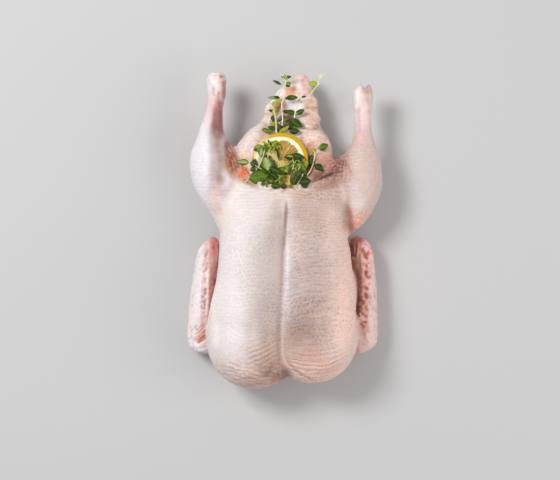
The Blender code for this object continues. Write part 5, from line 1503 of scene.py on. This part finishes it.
# the bunch in front: u, w, lift, length and width in steps, heading, pitch, roll, tone (0 dark .. 1 pale)
FRONT = [
    (323.0, 147.2, 2.5, 10.4, 6.8, 26, 4, -8, 0.36),
    (318.8, 168.4, 2.5, 10.8, 6.6, -36, -4, 12, 0.10),
    (310.8, 161.4, 3.2, 13.0, 5.8, 92, 6, -18, 0.16),
    (312.6, 150.8, 3.4, 6.0, 3.8, 70, 14, 0, 0.92),
    (289.6, 157.6, 3.6, 10.0, 4.8, 176, 6, 14, 0.04),
    (298.2, 157.0, 4.6, 13.0, 6.4, -13, -4, -16, 0.10),
    # a narrow pale leaf over the dark leaf, standing in for its glint: a painted highlight
    (290.4, 157.0, 5.0, 8.4, 2.4, 174, 6, 20, 1.32),
    (258.6, 177.6, 7.6, 18.6, 13.0, 12, 0, -6, 0.42),
    (265.4, 180.6, 5.0, 10.0, 5.6, 10, 0, 10, 0.14),
    (267.4, 164.4, 5.4, 12.6, 11.6, 100, 6, 4, 1.5),
    (271.4, 166.2, 3.6, 12.0, 6.4, 74, 2, -20, 0.06),
    (267.4, 158.4, 2.8, 8.6, 4.6, 12, 6, 0, 0.12),
    (254.6, 164.0, 3.0, 8.6, 6.2, 70, 4, 10, 0.12),
    (243.6, 162.4, 2.0, 12.2, 5.4, 174, 2, 8, 1.35),
    (258.8, 149.2, 3.0, 10.0, 6.4, 20, 6, 16, 0.62),
    # a pale leaf over the grey-green leaf beside it, standing in for its highlight: a painted highlight
    (261.2, 152.6, 2.8, 9.4, 5.6, 80, 8, -14, 1.4),
    (256.0, 149.8, 2.6, 5.0, 3.4, 205, 0, 0, 0.08),
    (277.2, 145.6, 2.0, 5.2, 3.0, 32, 6, 0, 0.50),
    (276.2, 150.2, 1.8, 4.6, 2.4, -24, 4, 0, 0.08),
    (278.6, 147.8, 1.6, 4.6, 2.6, -62, 4, 0, 0.10),
    (265.4, 149.8, 1.8, 4.8, 2.8, 170, 4, 0, 0.34),
    (277.8, 155.6, 2.0, 11.0, 2.0, -80, 2, 30, 0.02),
    (276.8, 171.2, 4.8, 15.0, 6.2, -28, 2, -10, 0.12),
    (274.6, 177.0, 4.2, 9.6, 5.8, -30, 2, 8, 0.06),
    (281.8, 170.0, 4.0, 8.4, 4.4, 16, 6, 0, 0.44),
    (286.4, 168.2, 4.2, 7.0, 3.8, 42, 8, 8, 0.54),
    (289.4, 169.0, 3.8, 5.6, 3.6, 82, 6, 0, 0.26),
    (286.4, 173.0, 2.6, 7.0, 2.0, -16, 0, 0, 0.04),
    (300.8, 163.2, 4.0, 6.4, 3.2, 22, 6, 0, 0.28),
    (302.6, 168.2, 4.0, 6.8, 3.6, 112, 6, 0, 0.56),
    (291.0, 165.4, 3.6, 5.8, 3.0, 60, 4, 0, 0.16),
    (304.6, 172.4, 3.4, 5.8, 3.4, 100, 2, 0, 0.28),
    (298.4, 161.6, 3.6, 5.4, 2.6, 150, 4, 0, 0.10),
    (306.6, 163.6, 3.2, 5.4, 2.8, 96, 6, 0, 0.72),
    (300.0, 169.8, 4.4, 5.4, 2.8, 40, 6, 0, 0.40),
    (296.0, 178.8, 5.6, 18.8, 9.2, 66, 4, 14, 0.16),
    (304.8, 182.2, 7.4, 11.4, 11.0, 4, -2, -10, 0.03),
    (270.6, 182.2, 3.6, 9.0, 4.8, 18, -2, 0, 0.30),
    (276.0, 186.6, 3.6, 9.6, 5.2, 4, -2, 0, 0.16),
    (283.8, 186.8, 3.6, 6.6, 4.6, 0, -2, 0, 0.03),
    (263.4, 184.4, 3.0, 5.0, 2.6, 30, 0, 0, 0.3),
    (290.6, 186.4, 3.4, 4.6, 2.6, 50, 0, 0, 0.5),
    (263.6, 171.6, 3.8, 8.4, 4.4, -52, 0, 0, 0.20),
    (252.8, 169.6, 3.2, 6.2, 3.6, 226, 0, 0, 0.34),
    (259.6, 167.6, 3.4, 7.4, 4.0, 60, 2, 0, 0.14),
    (268.0, 176.0, 3.4, 6.0, 3.0, -60, 0, 0, 0.08),
]
# tufts of young leaves: u, w, half sizes, count, tone
TUFTS = [
    (271.2, 146.8, 8.0, 4.4, 20, 0.86),
    (297.6, 165.6, 8.0, 5.4, 20, 0.80),
    (270.0, 181.6, 8.6, 3.8, 14, 0.70),
    (280.0, 178.8, 2.2, 3.8, 7, 0.90),
    (284.8, 170.4, 5.6, 3.0, 8, 0.66),
]
bunch, bunch_stems = Herb(), Herb()
rng = np.random.default_rng(11)
for i in range(110):
    q, a = math.sqrt(rng.uniform(0, 1)), rng.uniform(0, 2 * math.pi)
    u, w = 281.0 + 26.0 * q * math.cos(a), 174.0 + 12.0 * q * math.sin(a)
    long, wide = rng.uniform(4.6, 8.0), rng.uniform(0.44, 0.62)
    angles = rng.uniform(0, 360), rng.uniform(-14, 22), rng.uniform(-34, 34)
    bend = rng.uniform(0.2, 0.6), rng.uniform(0.1, 0.5)
    tone, sunk = rng.beta(1.2, 1.9), rng.uniform(1.0, 7.0)
    # the slice shows between the leaves in a few places
    if any(math.hypot(u - a, w - b) < r for a, b, r in ((286.4, 180.6, 7.5), (280.5, 163.5, 7.5), (271.0, 155.0, 8.0), (290, 160, 5.0), (257.0, 156.0, 7.0))):
        continue
    bunch.leaf((*plan(u, w), ground(u, w) - sunk), long * STEP, long * wide * STEP, *angles, *bend, float(tone), 100 + i)
for i, (u, w, lift, long, wide, heading, pitch, roll, tone) in enumerate(FRONT):
    bunch.leaf((*plan(u, w), ground(u, w) + lift), long * 1.08 * STEP, wide * 1.12 * STEP, heading, pitch, roll, 0.42, 0.26, tone, i)
rng = np.random.default_rng(29)
for u0, w0, ru, rw, count, tone in TUFTS:
    for k in range(count):
        a, q = 2.399963 * k + 0.7, math.sqrt((k + 0.5) / count)
        u, w = u0 + ru * q * math.cos(a), w0 + rw * q * math.sin(a)
        long, wide, turn = rng.uniform(4.2, 7.4), rng.uniform(0.30, 0.42), rng.uniform(-60, 60)
        shape = rng.uniform(0, 26), rng.uniform(-30, 30), rng.uniform(0.3, 0.7), rng.uniform(0.1, 0.5)
        shade_of = float(np.clip(tone + rng.uniform(-0.62, 0.2), 0.04, 1.0))
        lift = 2.2 + 2.4 * (1 - q) + rng.uniform(-0.5, 0.5)
        bunch.leaf((*plan(u, w), ground(u, w) + lift), long * STEP, long * wide * STEP, turn - math.degrees(a), *shape, shade_of, 500 + k)
STALKS = [
    ([(307, 176), (311.6, 168), (314.2, 158), (314.0, 151)], 0.7, 0.88),
    ([(313.8, 156), (318.0, 151.0), (320.0, 148.6)], 0.45, 0.84),
    ([(312.6, 165), (315.6, 165.4)], 0.45, 0.80),
    ([(262, 170), (257, 167), (252.4, 164.2), (248, 162.8)], 0.5, 0.84),
    ([(256, 172.5), (259, 166.5), (262.6, 159), (264.6, 151)], 0.65, 0.97),
    ([(268, 160), (268.4, 154), (271, 149), (274, 143)], 0.45, 0.88),
    ([(251.6, 176.4), (248.4, 179.8), (245.4, 183.0)], 0.4, 0.9),
    ([(270.0, 168.8), (275.0, 173.0), (280.4, 177.6)], 0.38, 0.84),
    ([(285, 172), (292, 166), (298, 159)], 0.5, 0.76),
    ([(303.0, 174.4), (299.4, 181.0), (295.4, 188.4)], 0.65, 0.95),
    ([(292.6, 170), (293.4, 164), (292.0, 158)], 0.5, 0.90),
    ([(267.6, 176.0), (265.8, 181.0), (266.4, 186.4)], 0.42, 0.86),
    ([(297, 172), (300.4, 166), (303.4, 161)], 0.45, 0.9),
]
for points, radius, tone in STALKS:
    bunch_stems.stem([(*plan(u, w), ground(u, w) + 3.2) for u, w in points], radius, tone)

# the sprigs behind, over the tail
REAR_STEMS = [
    ([(276.4, 136, 57), (276.2, 130, 57), (276.0, 122, 54), (275.2, 116, 52.5), (273.4, 111, 52)], 0.8, 0.96),
    ([(274.6, 110.6, 51.6), (271.6, 107.0, 51), (269.0, 104.4, 50.4), (265.2, 101.8, 50.6)], 0.45, 1.0),
    ([(282.0, 126, 53), (282.6, 119, 51.5), (282.0, 111, 50.4), (281.8, 104, 50), (283.6, 99, 50), (284.4, 93, 49.6), (285.2, 86, 49.5), (285.8, 80, 49.6)], 0.72, 0.98),
    ([(285.6, 82, 49.8), (283.4, 78.0, 50.2), (281.2, 75.2, 50.6), (279.0, 72.6, 51)], 0.42, 1.0),
    ([(285.6, 82, 50), (289.0, 79.6, 50.4), (292.6, 77.4, 50.6)], 0.36, 0.85),
    ([(285.4, 86, 49.6), (281.6, 84.6, 49.6), (278.6, 83.4, 49.8)], 0.36, 0.75),
    ([(294.4, 119.6, 53.4), (294.8, 114.4, 52.4), (297.6, 107, 51.4), (300.6, 101.4, 51), (304.6, 98.8, 51), (309.6, 95.4, 50.5), (314.0, 89.8, 50.5), (316.8, 86.2, 50.6), (319.6, 83.6, 51)], 0.68, 1.0),
    ([(317.6, 85.0, 50.8), (318.6, 81.6, 51), (320.0, 78.0, 51.4)], 0.62, 1.0),
    ([(320.0, 78.4, 51.4), (319.0, 75.6, 51.4), (317.0, 73.8, 51.6), (314.4, 73.6, 51.8)], 0.55, 1.0),
    ([(320.0, 78.4, 51.4), (321.0, 75.0, 51.6), (322.4, 72.2, 52)], 0.55, 1.0),
    ([(320.0, 79.0, 51.4), (322.6, 76.0, 51.6), (325.0, 74.4, 51.8), (326.8, 74.6, 51.8)], 0.55, 1.0),
    ([(281.8, 113, 50.5), (279.6, 115.4, 50.6), (277.6, 118, 51.5)], 0.42, 0.9),
    ([(282.0, 104.4, 50.3), (280.8, 102.6, 50.4), (279.6, 101.4, 50.6)], 0.36, 0.95),
    ([(283.4, 100, 50.3), (285.8, 98.8, 50.6), (288.6, 98.4, 51)], 0.36, 0.8),
    ([(295.2, 114.0, 52.2), (297.6, 113.4, 52.4)], 0.36, 0.85),
    ([(282.4, 121.6, 51.8), (279.0, 123.4, 52.6), (284.0, 126.4, 53.4)], 0.4, 0.85),
    ([(272.6, 123.6, 53.4), (270.4, 118.6, 52.4), (270.6, 114.0, 52.0)], 0.42, 0.86),
]
REAR = [
    (273.8, 97.8, 50.6, 12.0, 2.9, 178, 2, 14, 1.3),
    (276.6, 97.6, 50.9, 6.0, 2.6, 172, 2, -8, 0.06),
    (291.6, 97.6, 51.4, 12.4, 5.0, 6, 2, -12, 0.30),
    (289.0, 98.2, 51.6, 6.6, 2.8, 22, 2, 8, 0.10),
    (285.8, 77.6, 50.6, 5.6, 2.8, 106, 10, 0, 0.84),
    (288.2, 77.4, 50.2, 6.4, 2.6, 20, 2, 0, 0.22),
    (283.2, 77.6, 50.2, 4.6, 2.0, 150, 2, 0, 0.16),
    (288.6, 84.0, 50.2, 5.6, 3.6, 30, 2, 0, 0.62),
    (288.0, 86.2, 50.0, 5.0, 1.8, -8, 2, 0, 0.06),
    (277.0, 82.6, 50.4, 9.0, 2.4, 152, 2, 0, 0.22),
    (313.0, 84.0, 51.2, 8.8, 5.0, 178, 2, 8, 0.98),
    (304.0, 97.0, 51.4, 5.0, 1.7, 8, 2, 0, 0.16),
    (300.0, 101.4, 51.4, 4.6, 2.6, 120, 2, 0, 0.66),
    (291.0, 112.4, 51.8, 9.8, 5.0, 156, 4, 10, 0.22),
    (285.6, 111.8, 51.2, 6.4, 3.4, 170, 4, 0, 0.08),
    (300.0, 112.2, 52.2, 9.8, 4.8, 20, 6, -10, 0.20),
    (295.6, 124.0, 54.6, 14.6, 7.8, -36, 2, 16, 0.16),
    (273.8, 103.8, 51.0, 5.2, 3.6, 170, 4, 0, 0.88),
    (278.0, 102.0, 51.0, 6.2, 3.6, 30, 4, 0, 0.84),
    (274.2, 111.8, 52.0, 7.2, 5.4, 250, 6, 0, 0.86),
    (270.8, 111.0, 51.8, 4.2, 2.2, 160, 4, 0, 0.12),
    (277.2, 111.4, 52.2, 4.4, 2.6, 10, 6, 0, 0.60),
    (272.4, 119.0, 52.0, 7.4, 3.4, 84, -4, 0, 0.08),
    (275.4, 124.4, 52.6, 8.4, 4.4, 24, -2, 10, 0.72),
    (283.6, 122.6, 51.6, 6.2, 3.2, -30, -2, 0, 0.62),
    (285.8, 119.4, 51.2, 5.6, 2.8, 12, -2, 0, 0.50),
    (267.6, 131.0, 55.4, 11.0, 3.8, 170, -2, 10, 0.58),
    (271.6, 128.4, 53.4, 8.0, 4.0, 150, -2, 10, 0.14),
    (264.2, 130.0, 54.6, 5.0, 2.4, 200, -4, 0, 0.20),
    (284.2, 130.6, 58.0, 12.0, 4.0, 30, 4, 8, 0.78),
    (294.6, 131.6, 57.2, 10.0, 5.6, 6, 2, 0, 0.08),
    (279.6, 129.6, 54.8, 6.4, 4.2, 60, 0, 0, 0.08),
    (289.6, 128.0, 54.0, 6.6, 4.0, 200, 0, 0, 0.02),
]
sprigs, sprig_stems = Herb(), Herb()
for i, (u, w, z, long, wide, heading, pitch, roll, tone) in enumerate(REAR):
    low = ground(u, w, False) + 1.2
    sprigs.leaf((*plan(u, w), max(z, low)), long * 1.06 * STEP, wide * 1.1 * STEP, heading, pitch, roll, 0.4, 0.24, tone, 300 + i)
for points, radius, tone in REAR_STEMS:
    sprig_stems.stem([(*plan(u, w), max(z, ground(u, w, False) + 0.8) if w < 134 else z) for u, w, z in points], radius, tone)


def core_mesh():
    """A dark lumpy heart under the leaves."""
    turns, rings = 56, 26
    a = 2 * math.pi * np.arange(turns) / turns
    b = np.pi * (np.arange(1, rings)) / rings
    B, A = np.meshgrid(b, a, indexing="ij")
    d = np.stack([np.sin(B) * np.cos(A), np.sin(B) * np.sin(A), np.cos(B)], -1).reshape(-1, 3)
    d = np.concatenate([d, [[0, 0, 1], [0, 0, -1]]])
    size = np.array(CORE[1]) * 0.94
    p = d * size
    p = p * (1 + 0.10 * ridged(p + 50, 7.0, 71))[:, None] + np.array(CORE[0])
    n = len(b)
    i, j = np.meshgrid(np.arange(n - 1), np.arange(turns), indexing="ij")
    k = (j + 1) % turns
    quads = np.stack([i * turns + j, (i + 1) * turns + j, (i + 1) * turns + k, i * turns + k], -1).reshape(-1, 4)
    tris = split_quads(p, quads)
    c = np.arange(turns)
    e = (c + 1) % turns
    caps = [np.stack([np.full(turns, n * turns), c, e], 1), np.stack([np.full(turns, n * turns + 1), (n - 1) * turns + e, (n - 1) * turns + c], 1)]
    return p, np.concatenate([tris] + caps)


def leaf_material(name, stem=False):
    g = Graph(name)
    mm = g.place()
    blade = g.split(g.attr("blade", "Vector"))
    tone = g.attr("tone")
    spots = g.noise(mm, 0.7, 3.0, 0.6)
    grain = g.noise(mm, 2.2, 2.0)
    wide = g.noise(mm, 0.28, 2.0, 0.5)
    mixed = g.math("ADD", tone, g.math("MULTIPLY", g.math("SUBTRACT", spots, 0.5), 0.5))
    mixed = g.math("ADD", mixed, g.math("MULTIPLY", g.math("SUBTRACT", wide, 0.5), 0.6))
    if stem:
        colour = g.mix(g.ramp(mixed, 0.62, 1.0), (0.26, 0.36, 0.05), (0.86, 0.84, 0.60))
        g.set(Base_Color=colour, Roughness=0.5)
        g.bump(g.math("MULTIPLY", grain, 0.2))
        return g.material
    colour = g.mix(g.ramp(mixed, 0.0, 0.48), (0.020, 0.036, 0.005), (0.085, 0.160, 0.007))
    colour = g.mix(g.ramp(mixed, 0.42, 0.96), colour, (0.45, 0.50, 0.035))
    across = g.math("ABSOLUTE", blade[1])
    # pale leaves: silvery grey-green, lighter in the middle as a painted highlight
    middle = g.ramp(g.math("ADD", across, g.math("MULTIPLY", g.math("SUBTRACT", wide, 0.5), 0.5)), 0.0, 0.9, 1.0, 0.0)
    pale_and_highlit = g.mix(middle, (0.055, 0.11, 0.014), (0.42, 0.52, 0.19))
    colour = g.mix(g.ramp(tone, 1.1, 1.3), colour, pale_and_highlit)
    rib = g.ramp(across, 0.03, 0.14, 1.0, 0.0)
    vein = g.math("SINE", g.math("MULTIPLY", g.math("SUBTRACT", g.math("MULTIPLY", blade[0], 5.2), g.math("MULTIPLY", across, 1.4)), 6.283))
    vein = g.ramp(vein, 0.72, 1.0)
    lines = g.math("MAXIMUM", rib, g.math("MULTIPLY", vein, 0.45))
    colour = g.mix(g.math("MULTIPLY", lines, 0.26), colour, (0.34, 0.43, 0.05))
    colour = g.mix(g.math("MULTIPLY", g.ramp(across, 0.78, 1.0), 0.4), colour, (0.36, 0.46, 0.05))
    colour = g.mix(g.ramp(blade[2], -0.1, -0.6, 0.0, 0.55), colour, (0.26, 0.33, 0.15))
    g.set(Base_Color=colour, Roughness=g.ramp(spots, 0.3, 0.7, 0.20, 0.36), Specular_IOR_Level=0.24)
    g.bump(g.math("SUBTRACT", g.math("MULTIPLY", grain, 0.12), g.math("MULTIPLY", lines, 0.14)))
    g.set(Subsurface_Weight=0.06, Subsurface_Radius=(0.6, 1.0, 0.2), Subsurface_Scale=0.002)
    return g.material


green, stalk = leaf_material("herb_leaf_green"), leaf_material("herb_stem_pale", True)
# the heart is near-black green, darker than any leaf: painted shade of the bunch's inside between the leaves
heart = Graph("herb_heart_dark")
heart_shade = heart.noise(heart.place(), 0.5, 4.0)
heart.set(Base_Color=heart.mix(heart.ramp(heart_shade, 0.35, 0.7), (0.012, 0.026, 0.010), (0.045, 0.085, 0.022)), Roughness=0.7)
heart.bump(heart.math("MULTIPLY", heart_shade, 0.8))
core_v, core_f = core_mesh()
core = mesh_object("herb_bunch_heart", core_v, core_f)
core.data.materials.append(heart.material)
pieces = [(core, "herb_bunch")]
for herb, name, node, look in (
    (bunch, "herb_bunch_leaves", "herb_bunch", green),
    (bunch_stems, "herb_bunch_stems", "herb_bunch", stalk),
    (sprigs, "herb_sprig_leaves", "herb_sprigs", green),
    (sprig_stems, "herb_sprig_stems", "herb_sprigs", stalk),
):
    obj = herb.make(name)
    obj.data.materials.append(look)
    pieces.append((obj, node))
for obj, node in pieces:
    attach(obj, "root")
    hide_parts(node)
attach(lemon, "root")
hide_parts("lemon_slice")
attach(duck, "root")
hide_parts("duck")


def simple(name, colour, rough):
    g = Graph(name)
    g.set(Base_Color=colour, Roughness=rough)
    return g.material


# ---- floor, light and camera -----------------------------------------------------------------------------------------
floor_mesh = bpy.data.meshes.new("floor")
floor_mesh.from_pydata([(-4, -4, 0), (4, -4, 0), (4, 4, 0), (-4, 4, 0)], [], [(0, 1, 2, 3)])
floor = bpy.data.objects.new("floor", floor_mesh)
bpy.context.scene.collection.objects.link(floor)
floor.location.z = -0.0003
floor_mesh.materials.append(simple("floor", (0.62, 0.62, 0.62), 0.9))

scene = bpy.context.scene
scene.view_settings.view_transform = "Standard"
world = bpy.data.worlds.new("studio")
world.use_nodes = True
world.node_tree.nodes["Background"].inputs["Color"].default_value = (1.0, 1.0, 1.0, 1)
world.node_tree.nodes["Background"].inputs["Strength"].default_value = 0.38
scene.world = world


def area(name, place, size, watts, colour=(1, 1, 1), aim=(0, 0, 0.04)):
    light = bpy.data.lights.new(name, "AREA")
    light.shape = "SQUARE"
    light.size = size
    light.energy = watts
    light.color = colour
    obj = bpy.data.objects.new(name, light)
    scene.collection.objects.link(obj)
    obj.location = place
    obj.rotation_euler = (Vector(aim) - Vector(place)).to_track_quat("-Z", "Y").to_euler()
    return obj


area("key", (-0.96, 0.67, 1.62), 0.6, 24)
area("fill", (1.35, -0.35, 1.0), 1.4, 11)

camera = bpy.data.objects.new("camera", bpy.data.cameras.new("camera"))
scene.collection.objects.link(camera)
camera.data.sensor_width = 36.0
DISTANCE = 2.45
camera.data.lens = 36.0 * DISTANCE / (560 * STEP * MM)
camera.location = (*[c * MM for c in plan(280, 240)], 0.045 + DISTANCE)
camera.rotation_euler = (0, 0, 0)
camera.data.clip_start, camera.data.clip_end = 0.1, 20
scene.camera = camera
